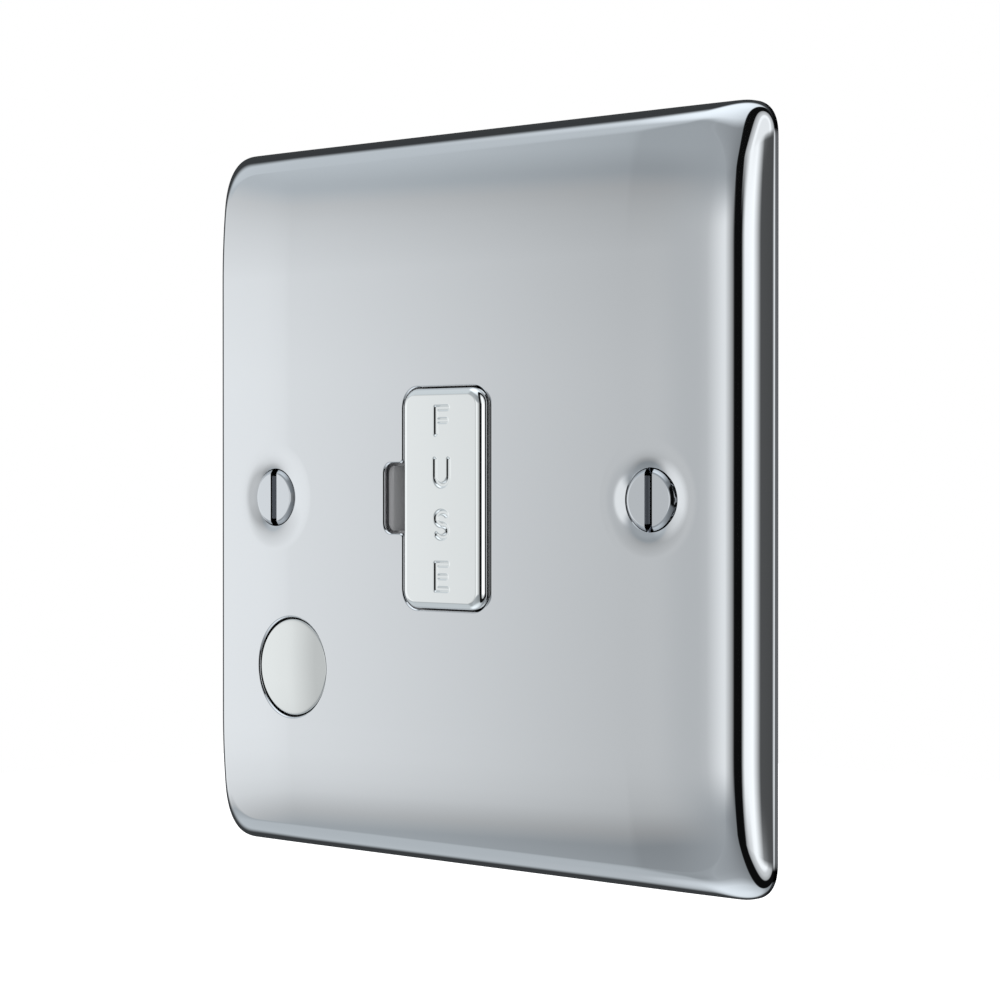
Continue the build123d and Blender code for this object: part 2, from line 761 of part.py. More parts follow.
# Cord grip: a bar across two posts, with a ridge towards the cord
with BuildPart() as cord_clamp:
    with BuildSketch(front(clamp_y + clamp_bar)):
        with Locations((0, clamp_z)):
            RectangleRounded(clamp_bar_w, clamp_pitch + 2 * clamp_bar_end, body_round)
    extrude(amount=clamp_bar)
    with BuildSketch(Plane.YZ):
        with Locations((clamp_y, clamp_z)):
            Circle(clamp_ridge)
    extrude(amount=clamp_bar_w / 2, both=True)
    with BuildSketch(front(clamp_y + clamp_bar)):
        with Locations(*[(0, z) for z in clamp_posts]):
            Circle(cover_screw_r + through_slip)
    extrude(amount=clamp_bar, mode=Mode.SUBTRACT)
cord_clamp.part.label = "cord_clamp"
export_step(cord_clamp.part, "parts/cord_clamp.step")

# Screws of the cord grip
with BuildPart() as cord_clamp_screws:
    for z in clamp_posts:
        add(
            rear_screw(
                0, z, clamp_y + clamp_bar - clamp_screw_length, clamp_screw_length,
                cover_screw_r - screw_slip,
                pan_head_r, pan_head, pan_head_round, pan_slot, pan_slot_depth,
            )
        )
cord_clamp_screws.part.label = "cord_clamp_screws"
export_step(cord_clamp_screws.part, "parts/cord_clamp_screws.step")

# Nuts on the plate's studs, one of them on the earth strap
with BuildPart() as plate_nuts:
    for x, z in studs:
        nut_y = earth_front_y if (x, z) == studs[0] else boss_y
        with BuildSketch(front(nut_y + nut_thick)):
            with Locations((x, z)):
                RegularPolygon(nut_flats / 2, 6, major_radius=False)
                Circle(stud_r + screw_slip, mode=Mode.SUBTRACT)
        extrude(amount=nut_thick)
plate_nuts.part.label = "plate_nuts"
export_step(plate_nuts.part, "parts/plate_nuts.step")
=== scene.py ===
"""Fused spur unit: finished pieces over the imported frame, lit in a small soft studio."""

from __future__ import annotations

import json
import logging
import math
from dataclasses import dataclass
from enum import Enum
from typing import Callable, Sequence

import bmesh
import bpy
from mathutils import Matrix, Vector
from mathutils.geometry import delaunay_2d_cdt
from mathutils.geometry import normal as polygon_normal

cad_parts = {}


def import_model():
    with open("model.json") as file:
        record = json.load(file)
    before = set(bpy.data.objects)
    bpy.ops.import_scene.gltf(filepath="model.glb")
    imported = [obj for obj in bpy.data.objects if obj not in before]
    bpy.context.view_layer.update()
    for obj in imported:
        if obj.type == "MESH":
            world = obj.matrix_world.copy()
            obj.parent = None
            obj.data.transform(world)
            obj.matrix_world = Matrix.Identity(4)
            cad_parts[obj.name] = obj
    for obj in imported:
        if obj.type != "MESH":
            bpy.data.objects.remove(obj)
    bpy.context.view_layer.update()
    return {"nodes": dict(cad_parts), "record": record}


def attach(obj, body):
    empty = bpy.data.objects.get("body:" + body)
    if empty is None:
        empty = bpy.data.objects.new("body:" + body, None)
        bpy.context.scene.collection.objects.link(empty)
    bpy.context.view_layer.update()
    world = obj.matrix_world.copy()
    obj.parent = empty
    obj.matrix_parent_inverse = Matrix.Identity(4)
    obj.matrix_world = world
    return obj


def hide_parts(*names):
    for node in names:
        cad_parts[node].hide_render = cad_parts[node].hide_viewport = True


LOG = logging.getLogger("fused_spur")
MM = 0.001
ON_AXIS = 1e-6
WELD = 1e-5
Point2 = tuple[float, float]
Point3 = tuple[float, float, float]
Rings = dict[str, tuple[list[int], list[Point2]]]
Feeds = dict[str | int, object]


class Body(Enum):
    """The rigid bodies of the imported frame."""

    BASE = "base"
    CARRIER = "carrier"
    PLUG = "plug"


class Slot(Enum):
    """The finishes that the record names."""

    PLATE = "plate_chrome"
    CAP = "cap_chrome"
    PLUG = "plug_chrome"
    FIXING = "screw_chrome"
    GREY = "grey_moulding"
    COVER = "cover_moulding"
    BLACK = "black_moulding"
    CERAMIC = "fuse_body"
    NICKEL = "cap_nickel"
    CONTACT = "contact_brass"
    BLOCK = "block_brass"
    TERMINAL = "terminal_steel"
    SMALL = "small_steel"


def shown(name: str, data: bpy.types.ID) -> bpy.types.Object:
    """Puts a mesh, a camera or a lamp into the scene.

    Args:
        name: The object's name.
        data: What the object shows.

    Returns:
        The new object.
    """
    thing = bpy.data.objects.new(name, data)
    bpy.context.scene.collection.objects.link(thing)
    return thing


class Skin:
    """A closed skin, gathered in millimetres, with a normal at every face corner."""

    def __init__(self) -> None:
        """Starts with no points and no faces."""
        self.points: list[Point3] = []
        self.faces: list[tuple[int, ...]] = []
        self.normals: list[Point3] = []

    def add(self, points: Sequence[Point3]) -> list[int]:
        """Adds points.

        Args:
            points: Places in millimetres.

        Returns:
            The numbers of the new points.
        """
        start = len(self.points)
        self.points.extend(points)
        return list(range(start, len(self.points)))

    def face(self, corners: Sequence[int], normals: Sequence[Point3]) -> None:
        """Adds a face, turned so that it looks the way its normals point.

        Args:
            corners: Point numbers around the face.
            normals: One normal for each corner.
        """
        looks = polygon_normal([Vector(self.points[i]) for i in corners])
        mean = sum((Vector(n) for n in normals), Vector((0, 0, 0)))
        if looks.dot(mean) < 0:
            corners = list(reversed(corners))
            normals = list(reversed(normals))
        self.faces.append(tuple(corners))
        self.normals.extend(normals)

    def strip(
        self,
        low: Sequence[int],
        high: Sequence[int],
        low_normals: Sequence[Point3],
        high_normals: Sequence[Point3],
    ) -> None:
        """Joins two closed rings of as many points with a band of quads.

        Args:
            low: Point numbers of the first ring.
            high: Point numbers of the second ring.
            low_normals: Normals along the first ring.
            high_normals: Normals along the second ring.
        """
        count = len(low)
        for i in range(count):
            j = (i + 1) % count
            corners = (low[i], low[j], high[j], high[i])
            self.face(corners, (low_normals[i], low_normals[j], high_normals[j], high_normals[i]))

    def lathe(self, profile: Sequence[Point2], centre: Point2, steps: int, crease: float = 40.0) -> None:
        """Turns a profile about an axis along Y, from its front pole to its rear one.

        Args:
            profile: Points of radius and Y, with the solid on the right of the way along it.
            centre: X and Z of the axis.
            steps: Points around the axis.
            crease: Corners sharper than this, in degrees, stay sharp.
        """
        turns = [2 * math.pi * k / steps for k in range(steps)]
        circle = [(math.cos(a), math.sin(a)) for a in turns]
        rings: list[list[int]] = []
        for radius, y in profile:
            ring = circle if radius > ON_AXIS else [(0.0, 0.0)]
            places = [(centre[0] + radius * c, y, centre[1] + radius * s) for c, s in ring]
            rings.append(self.add(places))
        slopes: list[Point2] = []
        for (r0, y0), (r1, y1) in zip(profile, profile[1:]):
            length = math.hypot(r1 - r0, y1 - y0)
            slopes.append(((y1 - y0) / length, (r0 - r1) / length))
        limit = math.cos(math.radians(crease))

        def blended(k: int, other: int) -> Point2:
            """Finds the normal of a segment at one of its ends.

            Args:
                k: The segment.
                other: The segment that shares the end.

            Returns:
                The normal along the radius and Y, blended unless the corner is sharp.
            """
            if not 0 <= other < len(slopes):
                return slopes[k]
            (a, b), (c, d) = slopes[k], slopes[other]
            if a * c + b * d < limit:
                return slopes[k]
            size = math.hypot(a + c, b + d)
            return ((a + c) / size, (b + d) / size)

        for k, (low, high) in enumerate(zip(rings, rings[1:])):
            ends = [blended(k, k - 1), blended(k, k + 1)]
            around = [[(n * c, m, n * s) for c, s in circle] for n, m in ends]
            if len(low) > 1 and len(high) > 1:
                self.strip(low, high, around[0], around[1])
                continue
            ring, pole, side = (high, low[0], 1) if len(low) == 1 else (low, high[0], 0)
            tip = (0.0, ends[1 - side][1], 0.0)
            for i in range(steps):
                j = (i + 1) % steps
                self.face((ring[i], ring[j], pole), (around[side][i], around[side][j], tip))

    def build(self, name: str, keep_normals: bool = True) -> bpy.types.Object:
        """Makes the object, in metres.

        Args:
            name: The piece's name.
            keep_normals: False for a piece that is cut afterwards and shaded anew.

        Returns:
            The new object, linked to the scene.
        """
        mesh = bpy.data.meshes.new(name)
        mesh.from_pydata([tuple(c * MM for c in p) for p in self.points], [], self.faces)
        mesh.polygons.foreach_set("use_smooth", [True] * len(mesh.polygons))
        if keep_normals:
            mesh.normals_split_custom_set([tuple(Vector(n).normalized()) for n in self.normals])
        mesh.update()
        return shown(name, mesh)


@dataclass(frozen=True)
class Arc:
    """One rounded corner of an outline in the X-Z plane."""

    x: float
    z: float
    radius: float
    start: float
    end: float
    bulges: bool = True

    def at(self, degrees: float, offset: float) -> Point2:
        """The corner's point at an angle.

        Args:
            degrees: The angle.
            offset: How far outwards the point is moved.

        Returns:
            The point's X and Z.
        """
        radius = self.radius + (offset if self.bulges else -offset)
        a = math.radians(degrees)
        return (self.x + radius * math.cos(a), self.z + radius * math.sin(a))

    def aim(self, degrees: float) -> Point2:
        """The outward direction at an angle.

        Args:
            degrees: The angle.

        Returns:
            The direction along X and Z.
        """
        sense = 1.0 if self.bulges else -1.0
        a = math.radians(degrees)
        return (sense * math.cos(a), sense * math.sin(a))


@dataclass(frozen=True)
class Outline:
    """A closed outline of corners joined by straight runs."""

    arcs: tuple[Arc, ...]
    arc_steps: int = 14
    run: float = 2.0

    def trace(self, offset: float) -> tuple[list[Point2], list[Point2]]:
        """Walks round the outline.

        Args:
            offset: How far outwards from the outline to walk.

        Returns:
            The points, and the outward direction at each.
        """
        points: list[Point2] = []
        aims: list[Point2] = []
        for arc, following in zip(self.arcs, self.arcs[1:] + self.arcs[:1]):
            for i in range(self.arc_steps + 1):
                degrees = arc.start + (arc.end - arc.start) * i / self.arc_steps
                points.append(arc.at(degrees, offset))
                aims.append(arc.aim(degrees))
            gap = math.dist(arc.at(arc.end, 0.0), following.at(following.start, 0.0))
            count = int(gap // self.run)
            first, last = points[-1], following.at(following.start, offset)
            for i in range(1, count + 1):
                t = i / (count + 1)
                points.append((first[0] + (last[0] - first[0]) * t, first[1] + (last[1] - first[1]) * t))
                aims.append(aims[-1])
        return points, aims


def rounded_rectangle(half_w: float, half_h: float, radius: float, arc_steps: int = 14) -> Outline:
    """An outline with four like corners.

    Args:
        half_w: Half its width along X.
        half_h: Half its height along Z.
        radius: The corners' radius.
        arc_steps: Steps round each corner.

    Returns:
        The outline, counter-clockwise seen from the front.
    """
    x, z = half_w - radius, half_h - radius
    corners = ((x, z, 0), (-x, z, 90), (-x, -z, 180), (x, -z, 270))
    return Outline(tuple(Arc(cx, cz, radius, a, a + 90) for cx, cz, a in corners), arc_steps)


def full_circle(centre: Point2, radius: float, count: int) -> Outline:
    """A round outline about a centre, of so many points."""
    return Outline((Arc(*centre, radius, 0, 360 * (count - 1) / count),), arc_steps=count - 1)


def inside(point: Sequence[float], loop: Sequence[Point2]) -> bool:
    """Tells whether a point lies inside a closed loop.

    Args:
        point: Its X and Z.
        loop: The loop's points in order.

    Returns:
        True inside.
    """
    x, z = point
    odd = False
    for (x0, z0), (x1, z1) in zip(loop, list(loop[1:]) + [loop[0]]):
        if (z0 > z) != (z1 > z) and x < (x1 - x0) * (z - z0) / (z1 - z0) + x0:
            odd = not odd
    return odd


def cover(
    skin: Skin,
    loops: Sequence[Sequence[int]],
    loose: Sequence[int],
    look: Callable[[float, float], Point3],
) -> None:
    """Covers a face between its outer loop and the holes in it.

    Args:
        skin: Holds the points and takes the faces.
        loops: Point numbers of the outer loop, then of each hole.
        loose: Numbers of the points that lie between them.
        look: Gives the normal at a place in X and Z.
    """
    numbers = [i for loop in loops for i in loop] + list(loose)
    flat = [Vector((skin.points[i][0], skin.points[i][2])) for i in numbers]
    edges: list[tuple[int, int]] = []
    paths: list[list[Point2]] = []
    for loop in loops:
        start, size = len(edges), len(loop)
        edges.extend((start + i, start + (i + 1) % size) for i in range(size))
        paths.append([tuple(p) for p in flat[start : start + size]])
    made = delaunay_2d_cdt(flat, edges, [], 1, WELD)
    for corners in made[2]:
        middle = sum((made[0][i] for i in corners), Vector((0, 0))) / len(corners)
        if any(inside(middle, path) for path in paths[1:]):
            continue
        ids = [numbers[made[3][i][0]] for i in corners]
        skin.face(ids, [look(skin.points[i][0], skin.points[i][2]) for i in ids])


def settle(piece: bpy.types.Object, modifier: bpy.types.Modifier) -> None:
    """Turns a piece's only modifier into plain mesh.

    Args:
        piece: The piece that carries it.
        modifier: The modifier, already on the piece.
    """
    graph = bpy.context.evaluated_depsgraph_get()
    mesh = bpy.data.meshes.new_from_object(piece.evaluated_get(graph), depsgraph=graph)
    piece.modifiers.remove(modifier)
    old = piece.data
    piece.data = mesh
    bpy.data.meshes.remove(old)
    mesh.name = piece.name


def crisp(piece: bpy.types.Object, angle: float) -> None:
    """Smooths a piece's faces, apart from its sharp edges.

    Args:
        piece: The piece to shade.
        angle: Edges sharper than this, in degrees, stay sharp.
    """
    mesh = piece.data
    mesh.polygons.foreach_set("use_smooth", [True] * len(mesh.polygons))
    mesh.set_sharp_from_angle(angle=math.radians(angle))
    even = piece.modifiers.new("even_normals", "WEIGHTED_NORMAL")
    even.keep_sharp = True
    settle(piece, even)


def plain_object(name: str, bm: bmesh.types.BMesh) -> bpy.types.Object:
    """Turns a bmesh into an object of the scene and frees it.

    Args:
        name: The object's name.
        bm: The mesh to use up.

    Returns:
        The new object.
    """
    mesh = bpy.data.meshes.new(name)
    bm.to_mesh(mesh)
    bm.free()
    return shown(name, mesh)


class Board:
    """A node tree under construction."""

    def __init__(self, tree: bpy.types.NodeTree) -> None:
        """Clears the tree."""
        self.tree = tree
        tree.nodes.clear()

    def feed(self, target: bpy.types.NodeSocket, value: object) -> None:
        """Gives an input what it needs.

        Args:
            target: The input.
            value: A socket to link to it, or a plain value to set on it.
        """
        if isinstance(value, bpy.types.NodeSocket):
            self.tree.links.new(value, target)
        else:
            target.default_value = value

    def add(self, kind: str, feeds: Feeds | None = None, **settings: object) -> bpy.types.Node:
        """Adds a node.

        Args:
            kind: The node's type.
            feeds: What each input gets, by the input's name or number.
            settings: The node's own settings, such as its operation.

        Returns:
            The new node.
        """
        node = self.tree.nodes.new(kind)
        for label, value in settings.items():
            setattr(node, label, value)
        for label, value in (feeds or {}).items():
            self.feed(node.inputs[label], value)
        return node

    def math(self, kind: str, *values: object) -> bpy.types.NodeSocket:
        """The result of an operation on sockets and numbers."""
        return self.add("ShaderNodeMath", dict(enumerate(values)), operation=kind).outputs[0]

    def vector(self, kind: str, feeds: Feeds, output: str = "Vector") -> bpy.types.NodeSocket:
        """The result of an operation on vectors."""
        return self.add("ShaderNodeVectorMath", feeds, operation=kind).outputs[output]

    def noise(self, where: bpy.types.NodeSocket, **sizes: object) -> bpy.types.NodeSocket:
        """Noise over a surface, as a value."""
        return self.add("ShaderNodeTexNoise", {"Vector": where, **sizes}).outputs["Fac"]

    def span(self, value: bpy.types.NodeSocket, feeds: Feeds, **settings: object) -> bpy.types.NodeSocket:
        """A value carried over from one range to another."""
        return self.add("ShaderNodeMapRange", {"Value": value, **feeds}, **settings).outputs["Result"]

    def over(self, mask: object, below: object, above: object) -> bpy.types.NodeSocket:
        """One colour laid over another where a mask is 1."""
        feeds = {"Factor": mask, "A": below, "B": above}
        return self.add("ShaderNodeMix", feeds, data_type="RGBA").outputs["Result"]

    def choose(self, mask: object, usual: object, other: object) -> bpy.types.NodeSocket:
        """The first of two shaders, or the second where a mask is 1."""
        return self.add("ShaderNodeMixShader", {"Fac": mask, 1: usual, 2: other}).outputs["Shader"]

    def seen(self) -> bpy.types.NodeSocket:
        """A mask of the rays that the camera sends, straight or through something clear."""
        path = self.add("ShaderNodeLightPath").outputs
        return self.math("MAXIMUM", path["Is Camera Ray"], path["Is Transmission Ray"])


class Workshop:
    """Gives each piece its finish and its place in the frame."""

    def __init__(self, finishes: dict[Slot, bpy.types.Material], bodies: dict[str, Body]) -> None:
        """Keeps the finishes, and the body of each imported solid."""
        self.finishes = finishes
        self.bodies = bodies

    def fit(self, piece: bpy.types.Object, slot: Slot, node: str, stands_for_it: bool = True) -> None:
        """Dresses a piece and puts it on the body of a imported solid.

        Args:
            piece: The finished piece.
            slot: Its finish.
            node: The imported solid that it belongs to.
            stands_for_it: Whether it is shown in the solid's place.
        """
        piece.data.materials.clear()
        piece.data.materials.append(self.finishes[slot])
        if stands_for_it:
            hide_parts(node)
        body = self.bodies[node]
        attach(piece, body.value)
        LOG.info("%s on %s, %d faces", piece.name, body.value, len(piece.data.polygons))


def thread(radius: float, depth: float, pitch: float, start: float, end: float) -> list[Point2]:
    """The grooved profile of a screw's thread.

    Args:
        radius: Outside radius.
        depth: Depth of the grooves.
        pitch: Distance from groove to groove.
        start: Y of the first crest.
        end: Y that the last crest stays short of.

    Returns:
        Points of radius and Y, crest and groove in turn.
    """
    crest, groove = 0.2, 0.6
    count = int((end - start) / pitch)
    points: list[Point2] = []
    for k in range(count):
        y = start + k * pitch
        points += [(radius, y), (radius, y + crest * pitch), (radius - depth, y + groove * pitch)]
    return points + [(radius, start + count * pitch)]


@dataclass
class FrontPlate:
    """The pressed and chromed plate, with its openings, dished seats and weld studs."""

    half: float = 43.0
    corner: float = 4.4
    shoulder_corner: float = 6.4
    corner_power: float = 2.6
    rise: float = 6.45
    flat: float = 27.0
    fall: float = 0.95
    skirt: float = 0.6
    roll: float = 3.0
    steel: float = 0.8
    lip_round: float = 0.14
    lip_flat: float = 0.13
    lip_lean: float = 47.0
    opening_left: float = -7.45
    opening_right: float = 6.46
    opening_half_h: float = 12.95
    opening_corner: float = 2.45
    notch_left: float = -10.65
    notch_half_h: float = 4.1
    notch_corner: float = 1.2
    notch_nose: float = 0.55
    outlet: Point2 = (-26.75, -20.7)
    outlet_r: float = 6.1
    fixing_x: float = 30.15
    hole_r: float = 2.0
    dimple_r: float = 6.9
    dimple_depth: float = 0.42
    seat_r: float = 3.55
    seat_land: float = 0.15
    dish_reach: float = 7.0
    stud_r: float = 1.5
    stud_foot_r: float = 2.5
    stud_foot: float = -4.6
    stud_end: float = 2.4
    stud_sunk: float = 0.2
    stud_groove: float = 0.22
    stud_pitch: float = 0.5
    stud_plain: float = 0.4
    stud_tip: float = 0.25
    stud_steps: int = 32
    studs: tuple[Point2, ...] = ((22.0, 26.5), (-22.0, 26.5), (22.0, -26.5))
    corner_steps: int = 24
    side_steps: int = 44
    front_steps: int = 44
    rear_steps: int = 14
    lip_steps: int = 4
    dish_steps: int = 14
    dish_points: int = 96
    outlet_points: int = 72
    opening_run: float = 1.5
    mesh_step: float = 2.0
    clear_share: float = 0.6
    crease: float = 0.02
    cone_ring: float = 2.8
    rear_rings: Point3 = (6.0, 5.0, 3.5)

    def past_flat(self, x: float, z: float) -> Point2:
        """How far a place lies beyond the flat middle, along X and Z."""
        return max(0.0, abs(x) - self.flat), max(0.0, abs(z) - self.flat)

    def crest(self, x: float, z: float, inset: float) -> float:
        """Height of the crowned face over the wall plane.

        Args:
            x: Place along X.
            z: Place along Z.
            inset: 0 for the front of the sheet, its thickness for the rear.

        Returns:
            The height.
        """
        far_x, far_z = self.past_flat(x, z)
        reach = self.half - self.roll - self.flat
        return self.rise - inset - self.fall * (far_x**2 + far_z**2) / reach**2

    def crest_slope(self, x: float, z: float) -> Point2:
        """Slope of the crowned face.

        Args:
            x: Place along X.
            z: Place along Z.

        Returns:
            The slope along X and Z.
        """
        far_x, far_z = self.past_flat(x, z)
        pace = -2 * self.fall / (self.half - self.roll - self.flat) ** 2
        return (math.copysign(far_x, x) * pace, math.copysign(far_z, z) * pace)

    def opening(self) -> Outline:
        """Draws the carrier's opening and its pry notch.

        Returns:
            The outline.
        """
        left, right = self.opening_left, self.opening_right
        h, r = self.opening_half_h, self.opening_corner
        far, t, q, e = self.notch_left, self.notch_half_h, self.notch_corner, self.notch_nose
        return Outline(
            (
                Arc(right - r, h - r, r, 0, 90),
                Arc(left + r, h - r, r, 90, 180),
                Arc(left - e, t + e, e, 0, -90, bulges=False),
                Arc(far + q, t - q, q, 90, 180),
                Arc(far + q, q - t, q, 180, 270),
                Arc(left - e, -t - e, e, 90, 0, bulges=False),
                Arc(left + r, r - h, r, 180, 270),
                Arc(right - r, r - h, r, 270, 360),
            ),
            run=self.opening_run,
        )

    def rear_rim(self) -> Point2:
        """Radii of a seat's rim and foot on the rear of the sheet."""
        return self.seat_r + self.dimple_depth + self.seat_land, self.hole_r + self.steel

    def dish(self, radius: float, back: bool) -> Point2:
        """Depth of a screw's dished seat below the face, and its slope.

        Args:
            radius: Distance from the screw's axis.
            back: True for the rear of the sheet.

        Returns:
            The depth, and its change with radius.
        """
        if back:
            start, foot = self.rear_rim()
            if radius >= start:
                return 0.0, 0.0
            return (start - foot, 0.0) if radius <= foot else (start - radius, -1.0)
        width = self.dimple_r - self.seat_r
        if radius >= self.dimple_r:
            return 0.0, 0.0
        if radius >= self.seat_r:
            share = (self.dimple_r - radius) / width
            return self.dimple_depth * share**2, -2 * self.dimple_depth / width * share
        return self.dimple_depth + self.seat_r - radius, -1.0

    def place(self, x: float, z: float, inset: float) -> tuple[Point3, Point3]:
        """A point of the face with its outward normal, dished seats included.

        Args:
            x: Place along X.
            z: Place along Z.
            inset: 0 for the front of the sheet, its thickness for the rear.

        Returns:
            The point and the normal.
        """
        back = inset > 0
        height = self.crest(x, z, inset)
        sx, sz = self.crest_slope(x, z)
        for side in (-1, 1):
            dx = x - side * self.fixing_x
            radius = math.hypot(dx, z)
            if radius < self.dish_reach:
                depth, change = self.dish(radius, back)
                height -= depth
                sx -= change * dx / radius
                sz -= change * z / radius
        normal = Vector((-sx, -1.0, -sz)).normalized()
        return (x, -height, z), tuple(-normal if back else normal)

    def rolled(self, inset: float, turn: float) -> tuple[list[Point3], list[Point3]]:
        """One ring of the rolled edge, whose corners open out towards the shoulder.

        Args:
            inset: 0 for the front of the sheet, its thickness for the rear.
            turn: Angle of the roll, from 0 at the skirt to a right angle at the shoulder.

        Returns:
            The ring's points and their outward normals.
        """
        roll = self.roll - inset
        grow = (self.shoulder_corner - self.corner + inset) / roll
        drawn = roll * (1 - math.cos(turn))
        radius = self.corner - inset + grow * drawn
        centre = self.half - inset - drawn - radius
        power, steep = self.corner_power, 2 - 2 / self.corner_power
        points: list[Point3] = []
        normals: list[Point3] = []

        def put(x: float, z: float, across: Point2, along: Point2) -> None:
            """Adds a point.

            Args:
                x: Place along X.
                z: Place along Z.
                across: How the place moves across the roll.
                along: How it moves along the roll.
            """
            height = self.crest(x, z, inset) - self.skirt
            sx, sz = self.crest_slope(x, z)
            pace = roll * math.sin(turn)
            ax, az = across[0] * pace, across[1] * pace
            up = height * math.cos(turn) + math.sin(turn) * (sx * ax + sz * az)
            lift = math.sin(turn) * (sx * along[0] + sz * along[1])
            normal = Vector((along[0], -lift, along[1])).cross(Vector((ax, -up, az))).normalized()
            points.append((x, -self.skirt - height * math.sin(turn), z))
            normals.append(tuple(-normal if inset > 0 else normal))

        for quarter, (sx, sz) in enumerate(((1, 1), (-1, 1), (-1, -1), (1, -1))):
            for k in range(self.corner_steps + 1):
                a = math.pi / 2 * (quarter + k / self.corner_steps)
                c, s = math.cos(a), math.sin(a)
                wide, high = sx * abs(c) ** (2 / power), sz * abs(s) ** (2 / power)
                along = (-sz * abs(s) ** steep, sx * abs(c) ** steep)
                across = (grow * wide - sx * (1 + grow), grow * high - sz * (1 + grow))
                put(sx * centre + radius * wide, sz * centre + radius * high, across, along)
            x, _, z = points[-1]
            for k in range(1, self.side_steps):
                far = 2 * centre * k / self.side_steps
                put(x - s * far, z + c * far, (-c, -s), (-s, c))
        return points, normals

    def sheet(self, skin: Skin, inset: float) -> Rings:
        """Lays one side of the sheet.

        Args:
            skin: Where it goes.
            inset: 0 for the front of the sheet, its thickness for the rear.

        Returns:
            The rings that the other side joins, by name, each with its outward directions.
        """
        back = inset > 0
        steps = self.rear_steps if back else self.front_steps
        points, normals = self.rolled(inset, 0.0)
        previous = skin.add([(x, 0.0, z) for x, _, z in points])
        rings: Rings = {"rim": (previous, [(a, b) for a, _, b in normals])}
        for k in range(steps + 1):
            points, turned = self.rolled(inset, math.pi / 2 * k / steps)
            ring = skin.add(points)
            skin.strip(previous, ring, normals, turned)
            previous, normals = ring, turned
        lip = 0.0 if back else self.edge()[-1][0]
        outlet = full_circle(self.outlet, self.outlet_r, self.outlet_points)
        paths = [(self.opening(), lip), (outlet, lip)]
        for side in (-1, 1):
            dish = full_circle((side * self.fixing_x, 0.0), self.dish_reach, self.dish_points)
            paths.append((dish, 0.0))
        holes: list[list[int]] = []
        for path, offset in paths:
            holes.append(skin.add([self.place(x, z, inset)[0] for x, z in path.trace(offset)[0]]))
        loops = [previous, *holes]
        cover(skin, loops, self.scatter(skin, inset, loops), lambda x, z: self.place(x, z, inset)[1])
        for side, ring in zip((-1, 1), holes[2:]):
            rings[f"seat{side}"] = self.seat(skin, inset, side, ring)
        rings["opening"] = self.curl(skin, holes[0], self.opening(), inset)
        rings["outlet"] = self.curl(skin, holes[1], outlet, inset)
        return rings

    def scatter(self, skin: Skin, inset: float, loops: Sequence[Sequence[int]]) -> list[int]:
        """Adds a grid of points over the face, clear of its loops.

        Args:
            skin: Where they go.
            inset: 0 for the front of the sheet, its thickness for the rear.
            loops: Point numbers of the shoulder, then of each hole.

        Returns:
            The numbers of the new points.
        """
        paths = [[(skin.points[i][0], skin.points[i][2]) for i in loop] for loop in loops]
        edge = [spot for path in paths for spot in path]
        count = int(2 * (self.half - self.roll) / self.mesh_step)
        lines = [(k - (count - 1) / 2) * self.mesh_step for k in range(count)]
        spots: list[Point3] = []
        for spot in ((x, z) for x in lines for z in lines):
            if not inside(spot, paths[0]) or any(inside(spot, path) for path in paths[1:]):
                continue
            if min(math.dist(spot, other) for other in edge) > self.clear_share * self.mesh_step:
                spots.append(self.place(*spot, inset)[0])
        return skin.add(spots)

    def seat(
        self,
        skin: Skin,
        inset: float,
        side: int,
        ring: Sequence[int],
    ) -> tuple[list[int], list[Point2]]:
        """Lays the dished seat of one fixing screw, from its rim to its hole.

        Args:
            skin: Where it goes.
            inset: 0 for the front of the sheet, its thickness for the rear.
            side: -1 for the left seat, 1 for the right one.
            ring: The seat's rim on the face.

        Returns:
            The ring of the hole, with its outward directions.
        """
        crease, steps, width = self.crease, self.dish_steps, self.dimple_r - self.seat_r
        radii = [self.dimple_r - width * k / steps for k in range(steps)]
        radii += [self.seat_r + crease, self.seat_r - crease, self.cone_ring, self.hole_r]
        if inset > 0:
            start, foot = self.rear_rim()
            outer, middle, inner = self.rear_rings
            radii = [outer, middle, start + crease, start - crease, inner]
            radii += [foot + crease, foot - crease, self.hole_r]
        previous = list(ring)
        centre = side * self.fixing_x
        rim = [(skin.points[i][0] - centre, skin.points[i][2]) for i in ring]
        aims = [(a / self.dish_reach, b / self.dish_reach) for a, b in rim]
        normals = [self.place(skin.points[i][0], skin.points[i][2], inset)[1] for i in ring]
        for radius in radii:
            made = [self.place(centre + radius * a, radius * b, inset) for a, b in aims]
            following = skin.add([point for point, _ in made])
            turned = [normal for _, normal in made]
            skin.strip(previous, following, normals, turned)
            previous, normals = following, turned
        return previous, aims

    def edge(self) -> list[Point3]:
        """Shapes the edge of an opening.

        Returns:
            Runs towards its wall, drops below the face and turns of the normal.
        """
        lean, r, steps = math.radians(self.lip_lean), self.lip_round, self.lip_steps
        profile: list[Point3] = []
        for k in range(1, steps + 1):
            t = lean * k / steps
            profile.append((r * math.sin(t), r * (1 - math.cos(t)), t))
        run, drop = self.lip_flat * math.cos(lean), self.lip_flat * math.sin(lean)
        for k in range(steps + 1):
            t = lean + (math.pi / 2 - lean) * k / steps
            profile.append((run + r * math.sin(t), drop + r * (1 - math.cos(t)), t))
        return profile

